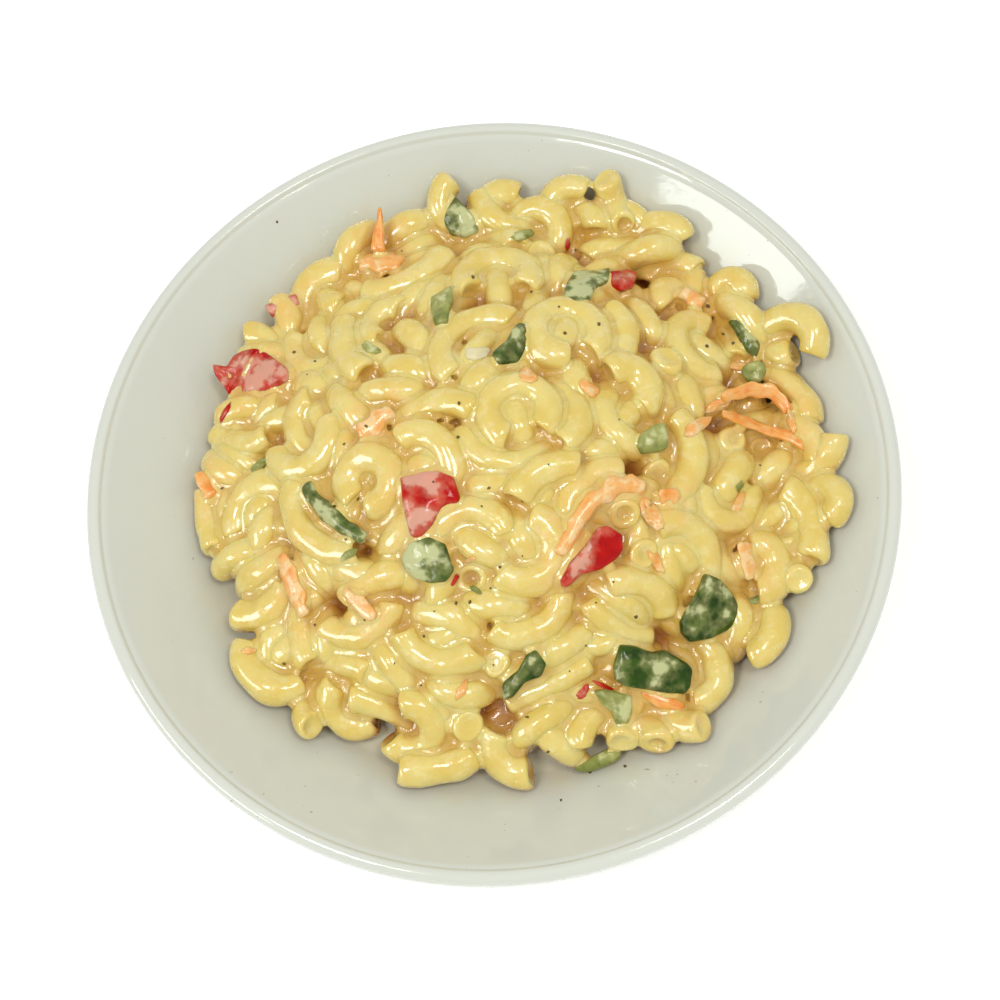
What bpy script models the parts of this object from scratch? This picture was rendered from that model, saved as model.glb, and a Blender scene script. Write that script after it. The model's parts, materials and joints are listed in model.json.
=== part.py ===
# A creamy macaroni salad heaped in its shallow white glazed dish.
# Metres, +Z up. The origin is the middle of the dish's foot, on the surface it stands on,
# and the front of the heap is at -Y.

import bmesh
import bpy
import numpy as np
from math import cos, pi, radians, sin

MM = 0.001
GAP = 0.3 * MM                      # left between pieces that touch

# The dish, turned about the Z axis
DISH_RADIUS = 110 * MM
RIM_HEIGHT = 31 * MM
FLOOR_HEIGHT = 6 * MM               # upper face of the flat floor
FLOOR_UNDERSIDE = 2.2 * MM
WELL_RADIUS = 77 * MM               # where the floor starts to turn up
WALL_CURVE = 1.15                   # power of the wall's rise
WALL_THICKNESS = 3.6 * MM
WALL_UNDERSIDE = 0.9                # share of the thickness that the outside lies lower
OUTSIDE_SHARES = (0.72, 0.40, 0.12)  # where the outside of the wall has its points
LIP_ROUND = 2.3 * MM
LIP_SINK = 0.7                      # share of the lip's roundness that the wall ends below it
LIP_START = radians(125)
LIP_DROP = 2.4 * MM                 # the short upright face under the lip
FOOT_RADIUS = 64 * MM
FOOT_WIDTH = 4.5 * MM
FOOT_SLANT = 1 * MM
DISH_SIDES = 48
WALL_POINTS = 5
LIP_POINTS = 4

# The heap, as a dome that the pieces fill up to
HEAP_MIDDLE = (4.3 * MM, 5.3 * MM)
HEAP_RADIUS = 87.5 * MM
HEAP_EDGE = 9.6 * MM                # height of its steep edge
HEAP_CROWN = 35 * MM                # rise of the middle above that edge
HEAP_FLATNESS = 1.15                # power of the fall from the middle to the edge
CORE_INSET = 7.5 * MM
CORE_REACH = 0.89                   # share of the heap's radius that the core takes
CORE_SIDES = 18
CORE_RINGS = 5
SKIRT_REACH = 0.975                 # thin dressing under the outermost pieces
SKIRT_SWING = 0.03                  # it reaches further towards the right and the back
SKIRT_HEADING = radians(30)
SKIRT_HEIGHT = 2.2 * MM
WALL_CLEARANCE = 1.5 * MM

# One piece of macaroni: a curved tube
TUBE_RADIUS = 4.2 * MM
TUBE_SIDES = 6
TUBE_DRAWN = 0.94                   # share of the radius that the six-sided tube takes
TUBE_TURN = radians(64)             # bend between two rings of the tube
CHAIN = 7                           # points along its middle line while it settles
SHORTEST_PIECE = 15 * MM
END_REACH = 2.4 * MM                # a piece reaches this far past its end points' middles
LARGEST_SWEEP = radians(320)
END_ON_SINK = 0.4 * TUBE_RADIUS     # depth of the end of a piece that is seen end on
END_ON_SWEEP = radians(110)
END_ON_BEND = 9 * MM
PIECE_LENGTH = (20 * MM, 28 * MM)
PIECE_BEND = (6.8 * MM, 10.5 * MM)
PIECE_TILTS = (8, 20, 35, 60, 85)   # degrees from lying flat to standing on edge
TOUCH_RADIUS = 3.85 * MM            # soft pieces press into each other a little
TOPPING_ROOM = 0.6 * MM
SETTLE_STEPS = 90
SINK_RATE = 0.5                     # share of its height above the dome that a piece sinks a step
RISE_RATE = 0.3                     # share of its depth that it rises a step, up to RISE_DEPTH
RISE_DEPTH = 1 * MM
LIFT_OFF_STEPS = 8
LIFT_SPREAD = 1.5 * MM              # pieces end this much above or below the dome
END_ON_LIFT = 2 * MM
PLACED_HOLD = 0.25                  # how firmly a piece keeps to its place in the photograph
FILLER_HOLD = 0.02
FILL_TRIES = 24
FILL_HOLE = 6.4 * MM                # a bare spot wider than this gets a piece
FILL_REACH = 0.92                   # share of the heap's radius that is searched for bare spots
FILL_STEP = 3 * MM
MOST_FILLERS = 40
SEED = 11

# The view of the photograph (1000 x 1000 pixels), by which what it shows is placed
VIEW_TARGET = (1.7 * MM, -2.4 * MM, 15 * MM)
VIEW_DISTANCE = 0.5
VIEW_HEIGHT_ANGLE = radians(69)
VIEW_ROLL = radians(-10.4)
VIEW_WIDTH_RATIO = 36 / 65
VIEW_PIXELS = 1000

# Pieces that stand out, by area: pixels at one end, the middle and the other end
CURVED_PIECES = {
    "back left": [
        ((338, 273), (312, 286), (304, 313)), ((368, 284), (340, 288), (331, 312)),
        ((374, 286), (412, 282), (446, 268)), ((292, 350), (308, 366), (334, 354)),
        ((352, 328), (345, 350), (350, 378)), ((392, 306), (374, 318), (384, 338)),
    ],
    "back": [
        ((466, 288), (490, 262), (527, 286)), ((450, 256), (482, 240), (516, 248)),
        ((518, 224), (540, 212), (557, 240)), ((573, 230), (583, 213), (602, 222)),
        ((447, 374), (458, 328), (506, 320)), ((583, 359), (570, 313), (557, 359)),
        ((594, 250), (612, 246), (630, 251)), ((606, 318), (622, 330), (632, 350)),
    ],
    "back right": [
        ((648, 268), (668, 261), (690, 268)), ((720, 292), (730, 280), (744, 283)),
        ((772, 322), (803, 324), (810, 354)), ((692, 322), (679, 350), (714, 372)),
        ((708, 322), (728, 334), (742, 354)), ((612, 372), (636, 376), (648, 402)),
        ((664, 300), (676, 290), (690, 300)), ((785, 376), (800, 393), (805, 418)),
        ((764, 336), (774, 350), (786, 360)),
    ],
    "left": [
        ((280, 402), (262, 424), (288, 456)), ((313, 402), (297, 426), (304, 450)),
        ((280, 467), (318, 464), (330, 426)), ((226, 432), (243, 446), (264, 448)),
        ((238, 526), (254, 489), (288, 496)), ((297, 492), (308, 534), (350, 548)),
        ((356, 503), (368, 459), (380, 503)), ((198, 500), (208, 520), (220, 540)),
    ],
    "middle": [
        ((407, 404), (438, 398), (470, 410)), ((402, 456), (434, 441), (464, 474)),
        ((497, 434), (519, 388), (544, 428)), ((466, 434), (498, 460), (541, 450)),
        ((551, 386), (575, 410), (568, 444)), ((618, 384), (603, 415), (630, 444)),
        ((562, 456), (536, 478), (528, 500)), ((604, 462), (578, 484), (572, 512)),
        ((446, 558), (456, 514), (502, 520)), ((530, 516), (554, 552), (510, 582)),
    ],
    "right": [
        ((676, 426), (693, 458), (684, 500)), ((831, 440), (824, 466), (804, 484)),
        ((813, 494), (810, 528), (792, 552)), ((762, 548), (780, 570), (766, 592)),
        ((702, 484), (716, 514), (752, 500)), ((664, 516), (702, 546), (690, 594)),
        ((828, 486), (836, 500), (824, 518)), ((612, 590), (640, 584), (668, 598)),
    ],
    "front left": [
        ((316, 596), (303, 632), (308, 656)), ((300, 668), (332, 664), (364, 674)),
        ((332, 686), (340, 712), (366, 720)), ((318, 690), (308, 708), (304, 726)),
        ((360, 688), (384, 704), (402, 724)), ((252, 652), (262, 682), (296, 688)),
        ((336, 606), (352, 630), (392, 634)), ((352, 592), (376, 576), (404, 570)),
        ((246, 612), (268, 612), (286, 598)),
    ],
    "front": [
        ((412, 628), (446, 606), (484, 640)), ((404, 646), (436, 662), (472, 650)),
        ((502, 634), (536, 632), (558, 598)), ((582, 664), (548, 680), (514, 696)),
        ((412, 700), (434, 722), (396, 746)), ((484, 746), (500, 764), (526, 766)),
        ((408, 764), (440, 768), (470, 762)), ((602, 708), (588, 718), (580, 738)),
        ((586, 616), (614, 624), (646, 622)),
    ],
    "front right": [
        ((766, 600), (780, 624), (754, 652)), ((708, 646), (718, 672), (700, 700)),
        ((648, 714), (676, 722), (704, 716)), ((624, 742), (634, 728), (656, 734)),
    ],
}

# Pieces that show one round end: its pixel, and a pixel that the rest of it leads towards
END_ON_PIECES = [
    ((611, 196), (614, 222)), ((537, 248), (528, 268)), ((656, 462), (630, 476)),
    ((622, 500), (606, 512)), ((498, 665), (500, 640)), ((472, 577), (480, 600)),
    ((737, 443), (722, 460)), ((461, 728), (462, 750)), ((803, 573), (790, 560)),
    ((642, 550), (620, 556)), ((766, 450), (776, 480)), ((665, 368), (652, 350)),
]

# Toppings as strips: for each, pixels along its middle with the height in millimetres above
# the heap's dome, then widths along it, thickness and roll about its length
GREEN_PEPPERS = {
    "green_back_tip": ([(454, 196, 2.5), (466, 232, 0)], (2.2, 8, 7.6), 2.4, 10),
    "green_by_ring": ([(566, 292, 0), (602, 275, 0)], (7, 8, 5), 2.2, -15),
    "green_folded": ([(449, 287, 0.5), (438, 322, 0)], (3, 5.8, 4), 2.2, 25),
    "green_under_ring": ([(496, 359, -0.5), (528, 328, -0.5)], (5.2, 7, 5), 2.2, 20),
    "green_twisted": ([(732, 318, 0.5), (746, 334, 1), (758, 353, 0)], (3.4, 5, 3), 2.0, -20),
    "green_small_right": ([(744, 370, 0.5), (765, 371, 0.5)], (4, 5.4, 4.4), 2.0, 0),
    "green_pale_right": ([(641, 436, 0), (667, 445, 0)], (6.2, 7.6, 5), 2.4, 15),
    "green_long_left": ([(304, 486, 0), (320, 514, 1), (364, 540, 0)], (3.4, 5.6, 3), 2.0, 20),
    "green_coated": ([(404, 554, -0.5), (450, 571, -1)], (8, 11.6, 7), 2.4, 0),
    "green_dark_right": ([(688, 636, 0), (722, 584, 0)], (9, 12.6, 9), 3.0, 10),
    "green_dark_front": ([(617, 664, 1), (690, 678, 1)], (10.6, 10.4, 9), 3.0, -10),
    "green_dark_middle": ([(504, 696, -0.5), (540, 659, 0)], (3.4, 5, 6.4), 2.4, 10),
    "green_pale_front": ([(599, 697, 0), (628, 712, 0)], (4.4, 7, 7.6), 2.4, 10),
    "green_on_dish": ([(576, 769, -6.4), (621, 751, -6.4)], (2, 4, 3), 2.0, 0),
}
RED_PEPPERS = {
    "red_folded_left": ([(220, 384, 1), (283, 368, 1)], (9, 11.6, 7.4), 2.4, 20),
    "red_back_left": ([(267, 311, 0), (297, 299, 0)], (3.8, 4.2, 3.6), 2.2, 0),
    "red_coated": ([(430, 473, 0), (417, 535, 0)], (14, 11.6, 5), 2.6, 0),
    "red_bright": ([(563, 584, 0.5), (617, 534, 1)], (4, 7.8, 9), 2.8, 10),
    "red_back": ([(615, 277, 0), (638, 281, 0)], (3.4, 5.2, 4.4), 2.0, 0),
}
CARROTS = {
    "carrot_spike": ([(379, 252, 3.3), (380, 207, 6.5)], (4.4, 1.2), 2.2, 0),
    "carrot_base": ([(360, 264, 0), (382, 256, 0.5), (402, 262, 0)], (5, 7, 5.4), 3.2, 0),
    "carrot_loop_far": ([(722, 398, 0), (744, 387, 1.5), (768, 384, 2), (786, 393, 1.5),
                         (789, 412, 0.5)], (3.4, 4, 3.8, 3.8, 3.4), 1.4, 30),
    "carrot_loop_near": ([(722, 414, 0.5), (742, 420, 0.5), (766, 428, 0.5), (808, 445, 0)],
                         (3.2, 3.4, 3.4, 3.4), 1.4, -10),
    "carrot_band": ([(561, 556, 0), (584, 512, 0.5), (610, 481, 1), (646, 486, 0.5)],
                    (4.4, 5.2, 5, 4.4), 1.5, 10),
    "carrot_curl": ([(660, 498, 0), (674, 484, 0.5), (678, 500, 0)], (3.6, 4, 3.4), 1.5, 20),
    "carrot_left_strip": ([(281, 554, 0), (292, 582, 0), (305, 616, 0)], (2.6, 5, 5, 3.4), 1.8, 0),
    "carrot_left_short": ([(344, 590, 0), (376, 618, 0)], (2.6, 4.2, 2.6), 1.6, 0),
    "carrot_coated": ([(358, 434, -1), (392, 410, -1)], (6, 6, 4.5), 2.6, 15),
    "carrot_left_edge": ([(198, 472, 0), (213, 496, 0)], (3, 4.4, 3.4), 1.6, 0),
    "carrot_front_strip": ([(641, 692, -1), (684, 709, 0)], (1.6, 3.6, 3), 1.6, 0),
    "carrot_right_strip": ([(743, 542, 0), (750, 580, 0)], (4, 4, 2.8), 1.6, 0),
    "carrot_back_right": ([(682, 290, 0), (704, 303, 0)], (4.6, 5.4, 4.4), 2.0, 0),
}
STRIP_STEP = 5.0 * MM
PEPPER_CAMBER = 0.9 * MM            # how far a pepper piece bows across its width
SHRED_WIDTH = 5                     # a narrower topping is flat across
PAD_SHARE = 0.62                    # width and length of the mound under a topping
PAD_SINK = 0.1                      # share of a topping's thickness that its mound stays lower
PAD_DEPTH = 12 * MM
WITHOUT_PAD = ("green_on_dish", "carrot_spike")

DISH_COLOUR = (0.70, 0.69, 0.55, 1)
MACARONI_COLOUR = (0.78, 0.61, 0.22, 1)
GREEN_COLOUR = (0.05, 0.10, 0.02, 1)
RED_COLOUR = (0.50, 0.02, 0.01, 1)
CARROT_COLOUR = (0.75, 0.24, 0.05, 1)


def clear_scene():
    for thing in list(bpy.data.objects):
        bpy.data.objects.remove(thing)


def new_collection(name):
    group = bpy.data.collections.new(name)
    bpy.context.scene.collection.children.link(group)
    return group


def material(name, colour, roughness):
    surface = bpy.data.materials.new(name)
    surface.use_nodes = True
    shader = surface.node_tree.nodes["Principled BSDF"]
    shader.inputs["Base Color"].default_value = colour
    shader.inputs["Roughness"].default_value = roughness
    shader.inputs["Metallic"].default_value = 0
    return surface


def mesh_object(name, shape, group, surface=None):
    """A bmesh becomes an object in a collection."""
    mesh = bpy.data.meshes.new(name)
    shape.to_mesh(mesh)
    shape.free()
    thing = bpy.data.objects.new(name, mesh)
    group.objects.link(thing)
    if surface:
        mesh.materials.append(surface)
    return thing


def keep_modifiers(thing):
    """Replaces the mesh by what its modifiers make of it."""
    depsgraph = bpy.context.evaluated_depsgraph_get()
    made = bpy.data.meshes.new_from_object(thing.evaluated_get(depsgraph))
    thing.modifiers.clear()
    thing.data = made


# The dish
WALL_REACH = DISH_RADIUS - 2 * LIP_ROUND - WELL_RADIUS
WALL_RISE = RIM_HEIGHT - LIP_ROUND * LIP_SINK - FLOOR_HEIGHT


def dish_surface(radius):
    """Height of the dish's upper face at a distance from its axis."""
    share = np.clip((radius - WELL_RADIUS) / WALL_REACH, 0, 1)
    return FLOOR_HEIGHT + WALL_RISE * share ** WALL_CURVE


def dish_profile():
    """From the middle of the floor over the lip and down the outside to the underside."""
    inner = [(0, FLOOR_HEIGHT), (WELL_RADIUS, FLOOR_HEIGHT)]
    for step in range(1, WALL_POINTS + 1):
        radius = WELL_RADIUS + WALL_REACH * step / WALL_POINTS
        inner.append((radius, float(dish_surface(radius))))
    lip = []
    for step in range(LIP_POINTS):
        turn = LIP_START * (1 - step / (LIP_POINTS - 1))
        lip.append((DISH_RADIUS - LIP_ROUND + LIP_ROUND * cos(turn),
                    RIM_HEIGHT - LIP_ROUND + LIP_ROUND * sin(turn)))
    outer = [(DISH_RADIUS, RIM_HEIGHT - LIP_ROUND - LIP_DROP)]
    for share in OUTSIDE_SHARES:
        radius = WELL_RADIUS + WALL_REACH * share
        outer.append((radius + WALL_THICKNESS / 2,
                      float(dish_surface(radius)) - WALL_THICKNESS * WALL_UNDERSIDE))
    foot = [(FOOT_RADIUS + FOOT_SLANT, FLOOR_UNDERSIDE), (FOOT_RADIUS, 0),
            (FOOT_RADIUS - FOOT_WIDTH, 0),
            (FOOT_RADIUS - FOOT_WIDTH - FOOT_SLANT, FLOOR_UNDERSIDE), (0, FLOOR_UNDERSIDE)]
    return inner + lip + outer + foot


def make_dish(group):
    shape = bmesh.new()
    points = [shape.verts.new((radius, 0, height)) for radius, height in dish_profile()]
    for first, second in zip(points, points[1:]):
        shape.edges.new((first, second))
    dish = mesh_object("dish", shape, group, material("white_glaze", DISH_COLOUR, 0.12))
    turn = dish.modifiers.new("turn", "SCREW")
    turn.steps = DISH_SIDES
    turn.render_steps = DISH_SIDES
    turn.use_merge_vertices = True
    turn.merge_threshold = 0.01 * MM
    turn.use_smooth_shade = True
    return dish


# The heap's dome and the way the photograph looks at it
def heap_top(x, y):
    """Height that the heap reaches; past its edge, the height of one piece on the dish."""
    out = np.hypot(x - HEAP_MIDDLE[0], y - HEAP_MIDDLE[1]) / HEAP_RADIUS
    crown = np.clip(1 - out * out, 0, 1) ** HEAP_FLATNESS
    return dish_surface(np.hypot(x, y)) + HEAP_EDGE + HEAP_CROWN * crown


def upward(surface, x, y, step=1.5 * MM):
    """Unit normals of a height surface."""
    slope_x = (surface(x + step, y) - surface(x - step, y)) / (2 * step)
    slope_y = (surface(x, y + step) - surface(x, y - step)) / (2 * step)
    normal = np.stack([-slope_x, -slope_y, np.ones_like(slope_x)], -1)
    return normal / np.linalg.norm(normal, axis=-1, keepdims=True)


def dish_top(x, y):
    return dish_surface(np.hypot(x, y))


def sole(x, y):
    """Underside of the salad, clear of the dish's facets where its wall rises."""
    return float(dish_surface(np.hypot(x, y) + WALL_CLEARANCE)) + GAP


def heap_slope(x, y):
    """Normals of the dome, evened out over the width of a piece."""
    return upward(heap_top, x, y, 2 * TUBE_RADIUS)


VIEW_BACK = np.array([0, -cos(VIEW_HEIGHT_ANGLE), sin(VIEW_HEIGHT_ANGLE)])
VIEW_RIGHT = (cos(VIEW_ROLL) * np.array([1.0, 0, 0])
              + sin(VIEW_ROLL) * np.array([0, sin(VIEW_HEIGHT_ANGLE), cos(VIEW_HEIGHT_ANGLE)]))
VIEW_UP = np.cross(VIEW_BACK, VIEW_RIGHT)
VIEW_EYE = np.array(VIEW_TARGET) + VIEW_DISTANCE * VIEW_BACK


def spot(u, v, height=0.0):
    """The point seen at a pixel, at a height above the heap's dome."""
    scale = VIEW_WIDTH_RATIO / VIEW_PIXELS
    middle = VIEW_PIXELS / 2
    ray = -VIEW_BACK + (u - middle) * scale * VIEW_RIGHT + (middle - v) * scale * VIEW_UP
    near = (0.1 - VIEW_EYE[2]) / ray[2]
    far = -VIEW_EYE[2] / ray[2]
    for _ in range(40):
        reach = (near + far) / 2
        point = VIEW_EYE + ray * reach
        if point[2] > heap_top(point[0], point[1]) + height:
            near = reach
        else:
            far = reach
    return point


# Macaroni pieces as chains of points
def arc_through(first, middle, last, count=None, reach=0.0, shortest=0.0):
    """Evenly spaced points on the circle through three points, or its bend in rings."""
    side_a = first - middle
    side_b = last - middle
    across = np.cross(side_a, side_b)
    area = across @ across
    offset = np.cross((side_a @ side_a) * side_b - (side_b @ side_b) * side_a, across) / (2 * area)
    centre = middle + offset
    axis_x = (middle - centre) / np.linalg.norm(middle - centre)
    axis_y = np.cross(across / np.sqrt(area), axis_x)
    bend = np.linalg.norm(offset)
    start, end = [np.arctan2((tip - centre) @ axis_y, (tip - centre) @ axis_x) for tip in (first, last)]
    sweep = abs(end - start)
    longer = min(max(sweep + 2 * reach / bend, shortest / bend), max(sweep, LARGEST_SWEEP))
    start, end = [tip + np.sign(tip) * (longer - sweep) / 2 for tip in (start, end)]
    if count is None:
        count = max(3, int(round(longer / TUBE_TURN)) + 1)
    angles = np.linspace(start, end, count)[:, None]
    return centre + bend * (np.cos(angles) * axis_x + np.sin(angles) * axis_y)


def seen_piece(pixels):
    points = [spot(u, v, -TUBE_RADIUS) for u, v in pixels]
    return arc_through(*points, CHAIN, END_REACH, SHORTEST_PIECE)


def end_on_piece(end, towards):
    """A piece with one end at the surface, which bends away below it."""
    top = spot(*end, -END_ON_SINK)
    lead = spot(*towards, -END_ON_SINK) - top
    normal = (heap_slope(top[0], top[1]) + VIEW_BACK) / 2
    normal /= np.linalg.norm(normal)
    lead -= (lead @ normal) * normal
    lead /= np.linalg.norm(lead)
    angles = np.linspace(0, END_ON_SWEEP, CHAIN)[:, None]
    return top + END_ON_BEND * ((1 - np.cos(angles)) * lead - np.sin(angles) * normal)


def strip_path(places):
    """A smooth line through a topping's places, and the dome's normals along it."""
    corners = np.array([spot(u, v, height * MM) for u, v, height in places])
    lengths = np.linalg.norm(np.diff(corners, axis=0), axis=1)
    steps = max(3, int(round(lengths.sum() / STRIP_STEP)))
    where = np.linspace(0, len(corners) - 1, steps + 1)
    known = np.arange(len(corners))
    path = np.stack([np.interp(where, known, corners[:, k]) for k in range(3)], 1)
    for _ in range(3 if len(corners) > 2 else 0):
        path[1:-1] = 0.5 * path[1:-1] + 0.25 * (path[:-2] + path[2:])
    return path, heap_slope(path[:, 0], path[:, 1])


def strip_grid(places, widths, roll, spread=0.0, share=1.0):
    """Points of a topping's middle surface: rows along it, two or three points across."""
    path, normal = strip_path(places)
    along = np.gradient(path, axis=0)
    along /= np.linalg.norm(along, axis=1, keepdims=True)
    middle = path.mean(0)
    stretch = np.linalg.norm(path[-1] - path[0]) / 2
    path = path + (share - 1 + spread / stretch) * ((path - middle) @ along.T).diagonal()[:, None] * along
    side = np.cross(normal, along)
    side /= np.linalg.norm(side, axis=1, keepdims=True)
    normal = np.cross(along, side)
    tilt = radians(roll)
    side, normal = cos(tilt) * side + sin(tilt) * normal, cos(tilt) * normal - sin(tilt) * side
    where = np.linspace(0, len(widths) - 1, len(path))
    width = np.interp(where, np.arange(len(widths)), np.array(widths) * MM) * share + 2 * spread
    wide = max(widths) > SHRED_WIDTH
    camber = PEPPER_CAMBER if wide else 0
    across = (-1, 0, 1) if wide else (-1, 1)
    grid = [path + (k * width / 2)[:, None] * side - camber * (k * k) * normal for k in across]
    return np.stack(grid, 1), normal


def grid_surface(points):
    shape = bmesh.new()
    rows, columns = points.shape[:2]
    corner = [[shape.verts.new(points[i, j]) for j in range(columns)] for i in range(rows)]
    for i in range(rows - 1):
        for j in range(columns - 1):
            shape.faces.new((corner[i][j], corner[i + 1][j], corner[i + 1][j + 1], corner[i][j + 1]))
    return shape


def strip_solid(name, places, widths, thickness, roll, group, surface=None, spread=0.0):
    """A topping, or with a spread the room it takes in the heap."""
    points, _ = strip_grid(places, widths, roll, spread)
    thing = mesh_object(name, grid_surface(points), group, surface)
    shell = thing.modifiers.new("thickness", "SOLIDIFY")
    shell.thickness = thickness * MM + 2 * spread
    shell.offset = 0
    return thing


def strip_pad(name, places, widths, thickness, roll, group):
    """The mound of salad that a topping lies on."""
    points, normal = strip_grid(places, widths, roll, share=PAD_SHARE)
    points = points - PAD_SINK * thickness * MM * normal[:, None, :]
    rows = np.unique([0, len(points) // 2, len(points) - 1])
    shape = grid_surface(points[rows][:, [-1, 0]])
    grown = bmesh.ops.extrude_face_region(shape, geom=shape.faces[:])
    lowered = [item for item in grown["geom"] if isinstance(item, bmesh.types.BMVert)]
    for vert in lowered:
        vert.co.z = max(vert.co.z - PAD_DEPTH, sole(vert.co.x, vert.co.y))
    bmesh.ops.recalc_face_normals(shape, faces=shape.faces[:])
    return mesh_object(name, shape, group)


def tube_solid(name, chain, group):
    """A piece of macaroni: rings round its middle line, closed at both ends."""
    chain = arc_through(chain[0], chain[CHAIN // 2], chain[-1])
    along = np.gradient(chain, axis=0)
    along /= np.linalg.norm(along, axis=1, keepdims=True)
    axis = np.cross(chain[0] - chain[len(chain) // 2], chain[-1] - chain[len(chain) // 2])
    axis /= np.linalg.norm(axis)
    radius = TUBE_DRAWN * TUBE_RADIUS
    shape = bmesh.new()
    rings = []
    for point, tangent in zip(chain, along):
        outward = np.cross(tangent, axis)
        outward /= np.linalg.norm(outward)
        turns = [2 * pi * k / TUBE_SIDES for k in range(TUBE_SIDES)]
        rings.append([shape.verts.new(point + radius * (cos(t) * outward + sin(t) * axis))
                      for t in turns])
    for ring, following in zip(rings, rings[1:]):
        for k in range(TUBE_SIDES):
            after = (k + 1) % TUBE_SIDES
            shape.faces.new((ring[k], ring[after], following[after], following[k]))
    shape.faces.new(rings[0])
    shape.faces.new(rings[-1])
    bmesh.ops.recalc_face_normals(shape, faces=shape.faces[:])
    return mesh_object(name, shape, group)


# Settling
def push_apart(points, owner, fixed_points, fixed_radius):
    """How far each chain point is pushed by points of other pieces and by the toppings."""
    between = points[:, None, :] - points[None, :, :]
    distance = np.linalg.norm(between, axis=2) + 1e-9
    overlap = np.clip(2 * TOUCH_RADIUS - distance, 0, None)
    overlap[owner[:, None] == owner[None, :]] = 0
    push = ((overlap / distance)[:, :, None] * between).sum(1) * 0.5
    count = (overlap > 0).sum(1)
    between = points[:, None, :] - fixed_points[None, :, :]
    distance = np.linalg.norm(between, axis=2) + 1e-9
    overlap = np.clip(TOUCH_RADIUS + fixed_radius - distance, 0, None)
    push += ((overlap / distance)[:, :, None] * between).sum(1)
    count += (overlap > 0).sum(1)
    return push / np.maximum(count, 1)[:, None]


def off_the_dish(points):
    """The way each point has to go to leave a piece's radius and some room over the dish."""
    x, y, z = points.T
    normal = upward(dish_top, x, y)
    low = (z - dish_surface(np.hypot(x, y) + WALL_CLEARANCE)) * normal[:, 2] - TUBE_RADIUS - GAP
    return -np.clip(low, None, 0)[:, None] * normal


def settle(chains, lifts, homes, holds, fixed_points, fixed_radius, steps):
    """Moves the pieces as rigid bodies until they touch without crossing, under the dome."""
    count, links = chains.shape[:2]
    owner = np.repeat(np.arange(count), links)
    for _ in range(steps):
        points = chains.reshape(-1, 3)
        move = push_apart(points, owner, fixed_points, fixed_radius)
        x, y, z = points.T
        room = (heap_top(x, y) + np.repeat(lifts, links) - z) * heap_slope(x, y)[:, 2]
        above = np.clip(TUBE_RADIUS - room, 0, None)
        move -= SINK_RATE * above[:, None] * heap_slope(x, y)
        middle = chains.mean(1)
        depth = room.reshape(count, links).min(1) - TUBE_RADIUS
        move[:, 2] += np.repeat(RISE_RATE * np.clip(depth, 0, RISE_DEPTH), links)
        move += off_the_dish(points)
        move = move.reshape(count, links, 3)
        shift = move.mean(1) + holds[:, None] * (homes - middle) * np.array([1, 1, 0])
        arms = chains - middle[:, None, :]
        twist = np.cross(arms, move).sum(1) / (arms ** 2).sum((1, 2))[:, None]
        twist *= (1 - 2 * holds)[:, None]
        turned = arms + np.cross(twist[:, None, :], arms)
        turned *= (np.linalg.norm(arms, axis=2, keepdims=True)
                   / np.linalg.norm(turned, axis=2, keepdims=True))
        chains = np.round(middle[:, None, :] + shift[:, None, :] + turned, 7)
    for _ in range(LIFT_OFF_STEPS):
        move = off_the_dish(chains.reshape(-1, 3)).reshape(chains.shape)
        worst = np.argmax(np.linalg.norm(move, axis=2), axis=1)
        chains = chains + move[np.arange(count), worst][:, None, :]
    return chains


def bare_spots(chains, fixed_points):
    """Points of the dome, with how far each is from the nearest piece or topping."""
    side = np.arange(-HEAP_RADIUS, HEAP_RADIUS, FILL_STEP)
    x, y = [values.ravel() for values in np.meshgrid(side, side)]
    inside = np.hypot(x, y) < FILL_REACH * HEAP_RADIUS
    x = x[inside] + HEAP_MIDDLE[0]
    y = y[inside] + HEAP_MIDDLE[1]
    places = np.stack([x, y, heap_top(x, y)], 1) - TUBE_RADIUS * heap_slope(x, y)
    taken = np.concatenate([chains.reshape(-1, 3), fixed_points])
    away = np.linalg.norm(places[:, None, :] - taken[None, :, :], axis=2).min(1)
    return places, away


def random_piece(place, draw):
    """A piece at a place, lying flat, tilted or on edge."""
    bend = draw.uniform(*PIECE_BEND)
    sweep = draw.uniform(*PIECE_LENGTH) / bend
    angles = np.linspace(-sweep / 2, sweep / 2, CHAIN)
    flat = np.stack([bend * np.sin(angles), bend * (np.cos(angles) - 0.6), 0 * angles], 1)
    tilt = radians(draw.choice(PIECE_TILTS))
    lean = np.array([[1, 0, 0], [0, cos(tilt), -sin(tilt)], [0, sin(tilt), cos(tilt)]])
    spin = draw.uniform(0, 2 * pi)
    turn = np.array([[cos(spin), -sin(spin), 0], [sin(spin), cos(spin), 0], [0, 0, 1]])
    normal = heap_slope(place[0], place[1])
    east = np.cross([0.0, 1.0, 0.0], normal)
    east /= np.linalg.norm(east)
    frame = np.stack([east, np.cross(normal, east), normal], 1)
    chain = (frame @ turn @ lean @ flat.T).T
    chain -= chain[np.argmax(chain @ normal)] @ normal * normal
    return place + chain


def fill_bare_spots(chains, fixed_points, draw, most):
    """Adds pieces one at a time at the barest spot, in the pose that crosses others least."""
    for _ in range(most):
        places, away = bare_spots(chains, fixed_points)
        barest = np.argmax(np.round(away, 6))
        if away[barest] < FILL_HOLE:
            break
        taken = np.concatenate([chains.reshape(-1, 3), fixed_points])
        best = None
        for _ in range(FILL_TRIES):
            chain = random_piece(places[barest], draw)
            distance = np.linalg.norm(chain[:, None, :] - taken[None, :, :], axis=2)
            crossing = round(float(np.clip(2 * TOUCH_RADIUS - distance, 0, None).sum()), 6)
            if best is None or crossing < best[0]:
                best = (crossing, chain)
        chains = np.concatenate([chains, best[1][None]])
    return chains


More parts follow.
